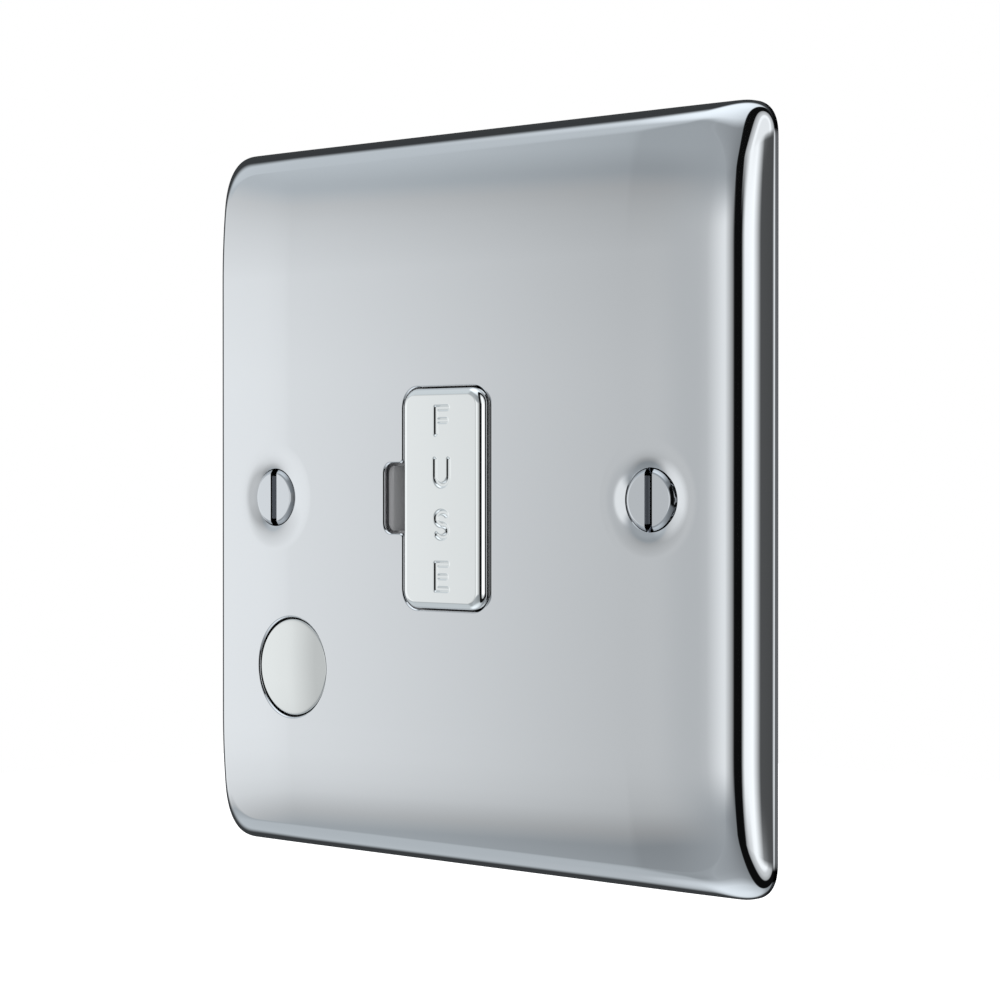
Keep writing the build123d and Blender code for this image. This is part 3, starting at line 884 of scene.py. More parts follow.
    def curl(
        self,
        skin: Skin,
        ring: list[int],
        path: Outline,
        inset: float,
    ) -> tuple[list[int], list[Point2]]:
        """Rounds the front edge of an opening into its wall.

        Args:
            skin: Where it goes.
            ring: The ring on the face where the rounding starts.
            path: The opening's outline.
            inset: 0 for the front of the sheet. The rear has no rounding.

        Returns:
            The ring at the top of the opening's wall, with its outward directions.
        """
        if inset > 0:
            return ring, path.trace(0.0)[1]
        previous = ring
        starts = [self.place(skin.points[i][0], skin.points[i][2], 0.0)[1] for i in ring]
        normals = starts
        whole = self.edge()[-1][0]
        for run, drop, t in self.edge():
            points, aims = path.trace(whole - run)
            following = skin.add([(x, drop - self.crest(x, z, 0.0), z) for x, z in points])
            turned: list[Point3] = []
            for (a, b), start in zip(aims, starts):
                turned.append(tuple(Vector(start) * math.cos(t) - Vector((a, 0.0, b)) * math.sin(t)))
            skin.strip(previous, following, normals, turned)
            previous, normals = following, turned
        return previous, path.trace(0.0)[1]

    def build(self) -> bpy.types.Object:
        """Makes the whole plate as one closed piece.

        Returns:
            The plate's object.
        """
        skin = Skin()
        front = self.sheet(skin, 0.0)
        rear = self.sheet(skin, self.steel)
        for name, (ring, aims) in front.items():
            walls = [(0.0, 1.0, 0.0) if name == "rim" else (-a, 0.0, -b) for a, b in aims]
            skin.strip(ring, rear[name][0], walls, walls)
        for x, z in self.studs:
            top, foot, end = -self.crest(x, z, self.steel) - self.stud_sunk, self.stud_foot, self.stud_end
            profile = [(0.0, top), (self.stud_foot_r, top), (self.stud_foot_r, foot), (self.stud_r, foot)]
            first, last = foot + self.stud_plain, end - self.stud_plain
            profile += thread(self.stud_r, self.stud_groove, self.stud_pitch, first, last)
            profile += [(self.stud_r - self.stud_tip, end), (0.0, end)]
            skin.lathe(profile, (x, z), self.stud_steps)
        return skin.build("pressed_plate")

    def dress(self, shop: Workshop) -> None:
        """Builds the plate and gives it its chrome."""
        shop.fit(self.build(), Slot.PLATE, "front_plate")


def bend(x: float, z: float, wide: float, high: float, start: float, end: float) -> list[Point2]:
    """Points along a round stroke of a letter.

    Args:
        x: Centre along X.
        z: Centre along Z.
        wide: Half its width.
        high: Half its height.
        start: Angle at its start, in degrees.
        end: Angle at its end.

    Returns:
        The points.
    """
    steps = 20
    turns = [math.radians(start + (end - start) * k / steps) for k in range(steps + 1)]
    return [(x + wide * math.cos(a), z + high * math.sin(a)) for a in turns]


@dataclass(frozen=True)
class Engraving:
    """The word on the carrier's face, its letters cut one below another with a round cutter."""

    word: str = "FUSE"
    half_w: float = 0.95
    half_h: float = 1.46
    pitch: float = 6.0
    centre_x: float = 0.12
    floor_half: float = 0.12
    toe: float = 0.06
    wall: float = 0.25
    steep: float = 1.38
    step: float = 0.05
    round_share: float = 1.15
    arm_share: float = 0.8
    on_path: float = 1e-9

    def strokes(self, letter: str) -> list[list[Point2]]:
        """Draws the cutter's paths for a letter.

        Args:
            letter: The letter.

        Returns:
            The paths, about the letter's centre.
        """
        w, h = self.half_w, self.half_h
        u = self.round_share * w
        middle = [(-w, 0.0), (self.arm_share * w, 0.0)]
        paths = {
            "F": [[(-w, -h), (-w, h), (w, h)], middle],
            "U": [[(-u, h), *bend(0.0, u - h, u, u, 180, 360), (u, h)]],
            "S": [[*bend(0.0, h / 2, w, h / 2, 35, 270), *bend(0.0, -h / 2, w, h / 2, 90, -145)[1:]]],
            "E": [[(w, h), (-w, h), (-w, -h), (w, -h)], middle],
        }
        return paths[letter]

    def cut(self, x: float, z: float, paths: Sequence[Sequence[Point2]]) -> tuple[float, Point2]:
        """Depth of the groove at a place, and its slope.

        Args:
            x: Place along X, from the letter's centre.
            z: Place along Z, from the letter's centre.
            paths: The cutter's paths.

        Returns:
            The depth, and its change along X and Z.
        """
        near, away = math.inf, Vector((1.0, 0.0))
        for path in paths:
            for (x0, z0), (x1, z1) in zip(path, path[1:]):
                run = (x1 - x0) ** 2 + (z1 - z0) ** 2
                t = min(1.0, max(0.0, ((x - x0) * (x1 - x0) + (z - z0) * (z1 - z0)) / run))
                off = Vector((x - x0 - t * (x1 - x0), z - z0 - t * (z1 - z0)))
                if off.length < near:
                    near, away = off.length, off
        edge = self.floor_half + self.toe + self.wall
        foot = self.floor_half + self.toe
        if near >= edge:
            return 0.0, (0.0, 0.0)
        if near >= foot:
            slope = self.steep * (edge - near) / self.wall
            depth = slope * (edge - near) / 2
        else:
            past = max(0.0, near - self.floor_half)
            slope = self.steep * past / self.toe
            depth = self.steep * (self.wall + self.toe - past**2 / self.toe) / 2
        away = away.normalized() if near > self.on_path else away
        return depth, (-slope * away.x, -slope * away.y)

    def tile(self, skin: Skin, index: int, face_y: float) -> list[int]:
        """Lays the small field of the face that holds one letter.

        Args:
            skin: Where it goes.
            index: Which letter of the word.
            face_y: The face's level.

        Returns:
            The ring of points around the field.
        """
        reach = self.floor_half + self.toe + self.wall + self.step
        across = math.ceil((self.round_share * self.half_w + reach) / self.step)
        up = math.ceil((self.half_h + reach) / self.step)
        middle = ((len(self.word) - 1) / 2 - index) * self.pitch
        paths = self.strokes(self.word[index])
        grid: list[list[int]] = []
        turns: list[list[Point3]] = []
        for j in range(-up, up + 1):
            made = [self.cut(i * self.step, j * self.step, paths) for i in range(-across, across + 1)]
            spots: list[Point3] = []
            for i, (depth, _) in zip(range(-across, across + 1), made):
                spots.append((self.centre_x + i * self.step, face_y + depth, middle + j * self.step))
            grid.append(skin.add(spots))
            turns.append([(sx, -1.0, sz) for _, (sx, sz) in made])
        for j in range(2 * up):
            for i in range(2 * across):
                corners = ((i, j), (i + 1, j), (i + 1, j + 1), (i, j + 1))
                skin.face([grid[b][a] for a, b in corners], [turns[b][a] for a, b in corners])
        left, right = [row[0] for row in grid], [row[-1] for row in grid]
        return grid[0] + right[1:-1] + grid[-1][::-1] + left[-2:0:-1]


@dataclass
class CarrierCap:
    """The chromed cap on the fuse carrier, with the word cut into its face."""

    half_w: float = 6.38
    half_h: float = 12.75
    corner: float = 2.1
    front: float = -7.7
    rear: float = -3.9
    wall: float = 0.8
    nose_r: float = 0.92
    nose_turn: float = 41.0
    bevel: float = 0.02
    flank_r: float = 0.82
    edge_steps: int = 8
    corner_steps: int = 18

    def edge(self) -> list[Point3]:
        """Shapes the rounded edge.

        Returns:
            Insets from the outline, depths from the face and turns of the surface.
        """
        steps = self.edge_steps
        turn = math.radians(self.nose_turn)
        profile: list[Point3] = []
        for k in range(steps + 1):
            t = turn * k / steps
            profile.append((self.nose_r * math.sin(t), self.nose_r * (1 - math.cos(t)), t))
        run, deep, _ = profile[-1]
        run, deep = run + self.bevel * math.cos(turn), deep + self.bevel * math.sin(turn)
        for k in range(2 * steps + 1):
            t = turn + (math.pi / 2 - turn) * k / (2 * steps)
            along = run + self.flank_r * (math.sin(t) - math.sin(turn))
            profile.append((along, deep + self.flank_r * (math.cos(turn) - math.cos(t)), t))
        width = profile[-1][0]
        return [(width - along, depth, t) for along, depth, t in profile]

    def build(self) -> bpy.types.Object:
        """Makes the cap as one closed shell.

        Returns:
            The cap's object.
        """
        skin = Skin()
        outline = rounded_rectangle(self.half_w, self.half_h, self.corner, self.corner_steps)
        previous: list[int] = []
        normals: list[Point3] = []
        for inset, depth, t in self.edge():
            points, aims = outline.trace(-inset)
            ring = skin.add([(x, self.front + depth, z) for x, z in points])
            turned = [(a * math.sin(t), -math.cos(t), b * math.sin(t)) for a, b in aims]
            if previous:
                skin.strip(previous, ring, normals, turned)
            else:
                word = Engraving()
                tiles = [word.tile(skin, k, self.front) for k in range(len(word.word))]
                cover(skin, [ring, *tiles], [], lambda x, z: (0.0, -1.0, 0.0))
            previous, normals = ring, turned
        foot = skin.add([(x, self.rear, z) for x, z in outline.trace(0.0)[0]])
        skin.strip(previous, foot, normals, normals)
        points, aims = outline.trace(-self.wall)
        mouth = skin.add([(x, self.rear, z) for x, z in points])
        floor = skin.add([(x, self.front + self.wall, z) for x, z in points])
        behind = [(0.0, 1.0, 0.0)] * len(foot)
        skin.strip(foot, mouth, behind, behind)
        walls = [(-a, 0.0, -b) for a, b in aims]
        skin.strip(mouth, floor, walls, walls)
        skin.face(floor, behind)
        return skin.build("carrier_cap_shell")

    def dress(self, shop: Workshop) -> None:
        """Builds the cap and gives it its chrome."""
        shop.fit(self.build(), Slot.CAP, "carrier_cap")


@dataclass
class FlexPlug:
    """The chromed plug that blanks the cord outlet."""

    centre: Point2 = (-26.75, -20.7)
    radius: float = 5.9
    face: float = -6.262
    dome: float = 0.12
    edge: float = 0.12
    edge_round: float = 0.2
    shoulder: float = -4.6
    boss_r: float = 4.9
    boss_edge: float = 0.2
    rear: float = -1.5
    hollow_r: float = 3.9
    hollow_top: float = -5.262
    dome_steps: int = 24
    edge_steps: int = 8
    around: int = 128
    crease: float = 30.0

    def build(self) -> bpy.types.Object:
        """Makes the plug as one closed piece.

        Returns:
            The plug's object.
        """
        rise = self.dome + self.edge
        ball = (self.radius**2 + rise**2) / (2 * rise)
        top = self.face - self.dome
        profile: list[Point2] = []
        reach = self.radius - self.edge_round
        for k in range(self.dome_steps + 1):
            r = reach * k / self.dome_steps
            profile.append((r, top + ball - math.sqrt(ball**2 - r**2)))
        lean = math.asin(reach / ball)
        r0, y0 = profile[-1]
        bend_r, bend_y = r0 - self.edge_round * math.sin(lean), y0 + self.edge_round * math.cos(lean)
        for k in range(1, self.edge_steps + 1):
            a = lean + (math.pi / 2 - lean) * k / self.edge_steps
            out, back = self.edge_round * math.sin(a), self.edge_round * math.cos(a)
            profile.append((bend_r + out, bend_y - back))
        profile += [
            (profile[-1][0], self.shoulder),
            (self.boss_r, self.shoulder),
            (self.boss_r, self.rear - self.boss_edge),
            (self.boss_r - self.boss_edge, self.rear),
            (self.hollow_r, self.rear),
            (self.hollow_r, self.hollow_top),
            (0.0, self.hollow_top),
        ]
        skin = Skin()
        skin.lathe(profile, self.centre, self.around, self.crease)
        return skin.build("outlet_plug")

    def dress(self, shop: Workshop) -> None:
        """Builds the plug and gives it its chrome."""
        shop.fit(self.build(), Slot.PLUG, "flex_plug")


@dataclass(frozen=True)
class ScrewShape:
    """The sizes of one kind of slotted screw, along Y from its driven end."""

    name: str
    head_r: float
    head_h: float
    head_round: float
    shank_r: float
    length: float
    slot: float
    slot_depth: float
    pitch: float
    groove: float
    cone: float = 0.0
    band: float = 0.0
    band_lean: float = 90.0
    slot_upright: bool = False
    steps: int = 48
    round_steps: int = 8
    face_margin: float = 0.03
    neck: float = 0.6
    plain_end: float = 0.8
    tip: float = 0.45

    def profile(self) -> list[Point2]:
        """Draws the turned profile.

        Returns:
            Points of radius and Y, from the driven face to the tip.
        """
        lean = math.radians(self.band_lean)
        flat_r = self.head_r - self.band - self.head_round * math.sin(lean)
        points: list[Point2] = [(0.0, 0.0), (flat_r - self.face_margin, 0.0)]
        for k in range(self.round_steps + 1):
            a = lean * k / self.round_steps
            points.append((flat_r + self.head_round * math.sin(a), self.head_round * (1 - math.cos(a))))
        if self.band > 0:
            points.append((self.head_r, points[-1][1] + self.band * math.tan(lean)))
        points += [(self.head_r, self.head_h), (self.shank_r, self.head_h + self.cone)]
        start = self.head_h + self.cone + self.neck
        points += thread(self.shank_r, self.groove, self.pitch, start, self.length - self.plain_end)
        return points + [(self.shank_r - self.tip, self.length), (0.0, self.length)]

    def build(self) -> bpy.types.Object:
        """Makes one screw, its driven face at the origin and its shank along +Y.

        Returns:
            The screw's object.
        """
        skin = Skin()
        skin.lathe(self.profile(), (0.0, 0.0), self.steps)
        screw = skin.build(self.name, keep_normals=False)
        reach = 4 * self.head_r
        across, up = (self.slot, reach) if self.slot_upright else (reach, self.slot)
        bm = bmesh.new()
        bmesh.ops.create_cube(bm, size=MM)
        bmesh.ops.scale(bm, vec=(across, 2 * self.slot_depth, up), verts=bm.verts)
        cutter = plain_object(self.name + "_slot", bm)
        cut = screw.modifiers.new("slot", "BOOLEAN")
        cut.operation = "DIFFERENCE"
        cut.solver = "EXACT"
        cut.object = cutter
        settle(screw, cut)
        mesh = cutter.data
        bpy.data.objects.remove(cutter)
        bpy.data.meshes.remove(mesh)
        return screw


@dataclass(frozen=True)
class ScrewSet:
    """Screws of one shape in rows and columns, with the place of the first driven face."""

    name: str
    node: str
    slot: Slot
    shape: ScrewShape
    columns: int
    rows: int
    pitch: Point2
    first: Point3
    from_behind: bool = True
    stands_for_node: bool = True


def pattern_tree() -> bpy.types.NodeTree:
    """Builds the node tree that sets one fastener out in rows and columns.

    Returns:
        The tree, with named inputs for its sizes.
    """
    board = Board(bpy.data.node_groups.new("fastener_pattern", "GeometryNodeTree"))
    sides = board.tree.interface
    for label, kind in (
        ("Geometry", "Geometry"),
        ("Fastener", "Object"),
        ("Columns", "Int"),
        ("Rows", "Int"),
        ("Pitch X", "Float"),
        ("Pitch Z", "Float"),
        ("First Place", "Vector"),
        ("Turn", "Vector"),
        ("Finish", "Material"),
    ):
        sides.new_socket(label, in_out="INPUT", socket_type="NodeSocket" + kind)
    sides.new_socket("Geometry", in_out="OUTPUT", socket_type="NodeSocketGeometry")
    given = board.add("NodeGroupInput").outputs
    across = board.add("ShaderNodeCombineXYZ", {"X": given["Pitch X"]}).outputs["Vector"]
    up = board.add("ShaderNodeCombineXYZ", {"Z": given["Pitch Z"]}).outputs["Vector"]
    feeds = {"Count": given["Columns"], "Start Location": given["First Place"], "Offset": across}
    row = board.add("GeometryNodeMeshLine", feeds).outputs["Mesh"]
    feeds = {"Count": given["Rows"], "Offset": up}
    column = board.add("GeometryNodeMeshLine", feeds).outputs["Mesh"]
    spread = board.add("GeometryNodeInstanceOnPoints", {"Points": column, "Instance": row})
    spots = board.add("GeometryNodeRealizeInstances", {"Geometry": spread.outputs["Instances"]})
    info = board.add("GeometryNodeObjectInfo", {"Object": given["Fastener"]})
    turn = board.add("FunctionNodeEulerToRotation", {"Euler": given["Turn"]})
    feeds = {
        "Points": spots.outputs["Geometry"],
        "Instance": info.outputs["Geometry"],
        "Rotation": turn.outputs["Rotation"],
    }
    screws = board.add("GeometryNodeInstanceOnPoints", feeds)
    plain = board.add("GeometryNodeRealizeInstances", {"Geometry": screws.outputs["Instances"]})
    feeds = {"Geometry": plain.outputs["Geometry"], "Material": given["Finish"]}
    dress = board.add("GeometryNodeSetMaterial", feeds)
    board.add("NodeGroupOutput", {"Geometry": dress.outputs["Geometry"]})
    return board.tree


@dataclass
class Fasteners:
    """All the unit's screws, each set laid out by one node tree."""

    fixing: ScrewShape = ScrewShape(
        "fixing_screw", head_r=3.4, head_h=0.33, head_round=0.385, shank_r=1.75, length=20.0, slot=1.08,
        slot_depth=1.1, pitch=0.6, groove=0.25, cone=1.65, band=0.3, band_lean=38.0,
        slot_upright=True, steps=96,
    )
    terminal: ScrewShape = ScrewShape(
        "terminal_screw", head_r=3.0, head_h=2.4, head_round=0.3, shank_r=1.95, length=6.95, slot=0.9,
        slot_depth=1.2, pitch=0.7, groove=0.25,
    )
    cover: ScrewShape = ScrewShape(
        "cover_screw", head_r=2.6, head_h=1.8, head_round=0.7, shank_r=1.2, length=9.8, slot=0.7,
        slot_depth=0.9, pitch=0.9, groove=0.2,
    )
    clamp: ScrewShape = ScrewShape(
        "clamp_screw", head_r=2.6, head_h=1.8, head_round=0.7, shank_r=1.2, length=7.8, slot=0.7,
        slot_depth=0.9, pitch=0.9, groove=0.2,
    )
    crease: float = 32.0

    def sets(self) -> tuple[ScrewSet, ...]:
        """Lists every set of screws.

        Returns:
            The sets, with the places of their first driven faces in millimetres.
        """
        steel, small = Slot.TERMINAL, Slot.SMALL
        return (
            ScrewSet(
                "plate_fixings", "fixing_screws", Slot.FIXING, self.fixing, 2, 1, (60.3, 0.0),
                (-30.15, -6.30, 0.0), from_behind=False,
            ),
            ScrewSet(
                "chamber_screws", "terminal_screws", steel, self.terminal, 2, 2, (26.6, 28.0),
                (-13.3, 13.375, -14.0),
            ),
            ScrewSet(
                "earth_screws", "terminal_screws", steel, self.terminal, 2, 1, (8.0, 0.0),
                (-4.0, 11.8, 26.5), stands_for_node=False,
            ),
            ScrewSet(
                "rear_cover_screws", "cover_screws", small, self.cover, 1, 2, (0.0, 33.4),
                (0.0, 17.775, -16.7),
            ),
            ScrewSet(
                "cord_grip_screws", "cord_clamp_screws", small, self.clamp, 1, 2, (0.0, 9.6),
                (0.0, 7.8, -32.9),
            ),
        )

    def build(
        self,
        layout: ScrewSet,
        tree: bpy.types.NodeTree,
        finish: bpy.types.Material,
    ) -> bpy.types.Object:
        """Sets out one kind of screw as a plain mesh.

        Args:
            layout: The set to make.
            tree: The node tree that lays it out.
            finish: The screws' finish.

        Returns:
            The set as one piece.
        """
        screw = layout.shape.build()
        piece = shown(layout.name, bpy.data.meshes.new(layout.name))
        modifier = piece.modifiers.new("pattern", "NODES")
        modifier.node_group = tree
        values = {
            "Fastener": screw,
            "Columns": layout.columns,
            "Rows": layout.rows,
            "Pitch X": layout.pitch[0] * MM,
            "Pitch Z": layout.pitch[1] * MM,
            "First Place": tuple(c * MM for c in layout.first),
            "Turn": (0.0, 0.0, math.pi if layout.from_behind else 0.0),
            "Finish": finish,
        }
        for item in tree.interface.items_tree:
            if item.in_out == "INPUT" and item.name in values:
                modifier[item.identifier] = values[item.name]
        settle(piece, modifier)
        bpy.data.objects.remove(screw)
        crisp(piece, self.crease)
        return piece

    def dress(self, shop: Workshop) -> None:
        """Builds every set and gives it its finish.

        Args:
            shop: Fits the pieces.
        """
        tree = pattern_tree()
        for layout in self.sets():
            piece = self.build(layout, tree, shop.finishes[layout.slot])
            shop.fit(piece, layout.slot, layout.node, layout.stands_for_node)


@dataclass(frozen=True)
class SoftSolids:
    """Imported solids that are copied, joined up and given soft edges, by finish."""

    members: tuple[tuple[Slot, float, tuple[str, ...]], ...] = (
        (Slot.GREY, 0.2, ("base_moulding",)),
        (Slot.COVER, 0.25, ("rear_cover", "cord_clamp")),
        (Slot.BLACK, 0.15, ("fuse_carrier",)),
        (Slot.CERAMIC, 0.0, ("fuse_tube",)),
        (Slot.NICKEL, 0.0, ("fuse_cap_top", "fuse_cap_bottom")),
        (Slot.CONTACT, 0.06, ("supply_clip", "load_clip", "neutral_link", "earth_strap")),
        (
            Slot.BLOCK,
            0.15,
            (
                "live_supply_terminal",
                "live_load_terminal",
                "neutral_supply_terminal",
                "neutral_load_terminal",
                "earth_terminal",
            ),
        ),
        (Slot.SMALL, 0.1, ("plate_nuts",)),
    )
    merge: float = 2e-6
    flat: float = 0.6
    sharp: float = 50.0
    segments: int = 2
    crease: float = 35.0

    def build(self, solid: bpy.types.Object, node: str, edge: float) -> bpy.types.Object:
        """Copies a solid, joins its facets and rounds its sharp edges.

        Args:
            solid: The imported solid, which stays as it is.
            node: Its name.
            edge: Width of the rounding in millimetres, or 0 for none.

        Returns:
            The copy.
        """
        bm = bmesh.new()
        bm.from_mesh(solid.data)
        bmesh.ops.remove_doubles(bm, verts=bm.verts, dist=self.merge)
        bmesh.ops.dissolve_limit(bm, angle_limit=math.radians(self.flat), verts=bm.verts, edges=bm.edges)
        piece = plain_object(node + "_finished", bm)
        if edge > 0:
            bevel = piece.modifiers.new("soft_edges", "BEVEL")
            bevel.width = edge * MM
            bevel.segments = self.segments
            bevel.limit_method = "ANGLE"
            bevel.angle_limit = math.radians(self.sharp)
            settle(piece, bevel)
        crisp(piece, self.crease)
        return piece

    def dress(self, shop: Workshop, solids: dict[str, bpy.types.Object]) -> None:
        """Builds every copy and gives it its finish.

        Args:
            shop: Fits the pieces.
            solids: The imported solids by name.
        """
        for slot, edge, nodes in self.members:
            for node in nodes:
                shop.fit(self.build(solids[node], node, edge), slot, node)


class Effect(Board):
    """A shader node group under construction."""

    def __init__(self, name: str, inputs: dict[str, object], outputs: Sequence[str]) -> None:
        """Starts the group, with coordinates as its first input.

        Args:
            name: The group's name.
            inputs: Defaults of the other inputs: a number, a vector of three or a colour of four.
            outputs: Names of the outputs. Color is a colour, and the others are numbers.
        """
        super().__init__(bpy.data.node_groups.new(name, "ShaderNodeTree"))
        sides = self.tree.interface
        sides.new_socket("Vector", in_out="INPUT", socket_type="NodeSocketVector")
        kinds = {1: "NodeSocketFloat", 3: "NodeSocketVector", 4: "NodeSocketColor"}
        for label, value in inputs.items():
            kind = kinds[len(value) if isinstance(value, tuple) else 1]
            sides.new_socket(label, in_out="INPUT", socket_type=kind).default_value = value
        for label in outputs:
            sides.new_socket(label, in_out="OUTPUT", socket_type=kinds[4 if label == "Color" else 1])
        self.given = self.add("NodeGroupInput").outputs
        self.result = self.add("NodeGroupOutput").inputs

    def put_out(self, **made: bpy.types.NodeSocket) -> bpy.types.NodeTree:
        """Links the group's outputs.

        Args:
            made: What each output shows, by its name.

        Returns:
            The finished group.
        """
        for label, value in made.items():
            self.feed(self.result[label], value)
        return self.tree


class Effects:
    """Shader node groups that several finishes share."""

    def __init__(self) -> None:
        """Builds the groups once."""
        self.recess = self.build_recess()
        self.grain = self.build_grain()
        self.drawn = self.build_drawn()

    @staticmethod
    def build_recess() -> bpy.types.NodeTree:
        """Makes a cloudy plating with painted shade: its colour darkens with depth behind the front,
        where a slot or gap would lie in shadow.

        Returns:
            The group.
        """
        inputs = {
            "Bright": (0.8, 0.8, 0.8, 1.0),
            "Dull": (0.1, 0.1, 0.1, 1.0),
            "Start": 0.0,
            "End": 0.001,
            "Low": 0.03,
            "High": 0.07,
        }
        effect = Effect("recess_shade", inputs, ("Color", "Roughness"))
        given = effect.given
        split = effect.add("ShaderNodeSeparateXYZ", {"Vector": given["Vector"]})
        depth = effect.span(split.outputs["Y"], {"From Min": given["Start"], "From Max": given["End"]})
        cloud = effect.noise(given["Vector"], Scale=90.0, Detail=5.0)
        return effect.put_out(
            # The colour is painted shade: bright plating in front, darkened deeper in where slots and
            # gaps would be in shadow.
            Color=effect.over(depth, given["Bright"], given["Dull"]),
            Roughness=effect.span(cloud, {"To Min": given["Low"], "To Max": given["High"]}),
        )

    @staticmethod
    def build_grain() -> bpy.types.NodeTree:
        """Makes the fine spark-eroded grain and uneven shade of a moulding.

        Returns:
            The group.
        """
        inputs = {"Dark": (0.1, 0.1, 0.1, 1.0), "Light": (0.2, 0.2, 0.2, 1.0), "Scale": 3000.0}
        effect = Effect("moulded_grain", inputs, ("Color", "Roughness", "Height"))
        given = effect.given
        grain = effect.noise(given["Vector"], Scale=given["Scale"], Detail=4.0, Roughness=0.6)
        flow = effect.noise(given["Vector"], Scale=140.0, Detail=3.0)
        return effect.put_out(
            Color=effect.over(flow, given["Dark"], given["Light"]),
            Roughness=effect.span(grain, {"To Min": 0.42, "To Max": 0.62}),
            Height=grain,
        )

    @staticmethod
    def build_drawn() -> bpy.types.NodeTree:
        """Makes the fine lines and tarnish of drawn or machined metal.

        Returns:
            The group.
        """
        inputs = {
            "Dark": (0.4, 0.3, 0.1, 1.0),
            "Light": (0.8, 0.6, 0.3, 1.0),
            "Stretch": (1.0, 1.0, 12.0),
        }
        effect = Effect("drawn_lines", inputs, ("Color", "Roughness", "Height"))
        given = effect.given
        pulled = effect.vector("MULTIPLY", {0: given["Vector"], 1: given["Stretch"]})
        lines = effect.noise(pulled, Scale=900.0, Detail=4.0)
        stain = effect.noise(given["Vector"], Scale=260.0, Detail=5.0)
        return effect.put_out(
            Color=effect.over(stain, given["Dark"], given["Light"]),
            Roughness=effect.span(lines, {"To Min": 0.18, "To Max": 0.42}),
            Height=lines,
        )


class Paint(Board):
    """A material under construction: a Principled shader with one shared effect on it."""

    def __init__(self, slot: Slot, effect: bpy.types.NodeTree, values: Feeds, own: Feeds) -> None:
        """Starts a slot's material and feeds the effect with Object coordinates.

        Args:
            slot: The finish that it is for.
            effect: The shared effect, which gives the colour and the roughness.
            values: The effect's other inputs, by name.
            own: Plain values of the shader, by name.
        """
        self.material = bpy.data.materials.new(slot.value)
        self.material.use_nodes = True
        super().__init__(self.material.node_tree)
        where = self.add("ShaderNodeTexCoord").outputs["Object"]
        group = self.add("ShaderNodeGroup", {"Vector": where, **values}, node_tree=effect)
        self.made = group.outputs
        feeds = {"Base Color": self.made["Color"], "Roughness": self.made["Roughness"], **own}
        self.shader = self.add("ShaderNodeBsdfPrincipled", feeds)
        self.add("ShaderNodeOutputMaterial", {"Surface": self.shader.outputs["BSDF"]})

    def bump(self, depth: float) -> None:
        """Feeds the effect's Height to the shader through a bump of that depth in metres."""
        node = self.add("ShaderNodeBump", {"Distance": depth, "Height": self.made["Height"]})
        self.feed(self.shader.inputs["Normal"], node.outputs["Normal"])


@dataclass(frozen=True)
class Chrome:
    """Polished chromium plating, its colour darkened by painted shade from one depth to another behind
    the front.
    """

    tint: Point3
    painted_shade: Point3
    start: float
    end: float
    low: float = 0.015
    high: float = 0.05

    def material(self, slot: Slot, effects: Effects) -> bpy.types.Material:
        """Builds the finish from the shared recess shade.

        Args:
            slot: The finish that it is for.
            effects: The shared effects.

        Returns:
            The material.
        """
        values = {
            "Bright": (*self.tint, 1.0),
            # The second colour is painted shade for the slots, gaps and rim behind the front.
            "Dull": (*self.painted_shade, 1.0),
            "Start": self.start * MM,
            "End": self.end * MM,
            "Low": self.low,
            "High": self.high,
        }
        return Paint(slot, effects.recess, values, {"Metallic": 1.0}).material


@dataclass(frozen=True)
class Moulding:
    """Moulded plastic with a fine grain."""

    dark: Point3
    light: Point3
    scale: float = 2600.0
    depth: float = 0.00002
    specular: float = 0.4

    def material(self, slot: Slot, effects: Effects) -> bpy.types.Material:
        """Builds the finish from the shared grain.

        Args:
            slot: The finish that it is for.
            effects: The shared effects.

        Returns:
            The material.
        """
        values = {"Dark": (*self.dark, 1.0), "Light": (*self.light, 1.0), "Scale": self.scale}
        paint = Paint(slot, effects.grain, values, {"Specular IOR Level": self.specular})
        paint.bump(self.depth)
        return paint.material


@dataclass(frozen=True)
class DrawnMetal:
    """Bare or plated metal with drawing or machining lines."""

    dark: Point3
    light: Point3
    stretch: Point3 = (1.0, 1.0, 1.0)
    depth: float = 0.000006

    def material(self, slot: Slot, effects: Effects) -> bpy.types.Material:
        """Builds the finish from the shared drawn lines.

        Args:
            slot: The finish that it is for.
            effects: The shared effects.

        Returns:
            The material.
        """
        values = {"Dark": (*self.dark, 1.0), "Light": (*self.light, 1.0), "Stretch": self.stretch}
        paint = Paint(slot, effects.drawn, values, {"Metallic": 1.0})
        paint.bump(self.depth)
        return paint.material


@dataclass(frozen=True)
class Glaze:
    """Glazed ceramic of the fuse's tube."""

    dark: Point3 = (0.72, 0.69, 0.61)
    light: Point3 = (0.84, 0.82, 0.75)
    scale: float = 1400.0
    coat: float = 0.6
    coat_roughness: float = 0.12
    depth: float = 0.000008

    def material(self, slot: Slot, effects: Effects) -> bpy.types.Material:
        """Builds the finish from the shared grain, under a clear coat.

        Args:
            slot: The finish that it is for.
            effects: The shared effects.

        Returns:
            The material.
        """
        values = {"Dark": (*self.dark, 1.0), "Light": (*self.light, 1.0), "Scale": self.scale}
        own = {"Coat Weight": self.coat, "Coat Roughness": self.coat_roughness}
        paint = Paint(slot, effects.grain, values, own)
        paint.bump(self.depth)
        return paint.material


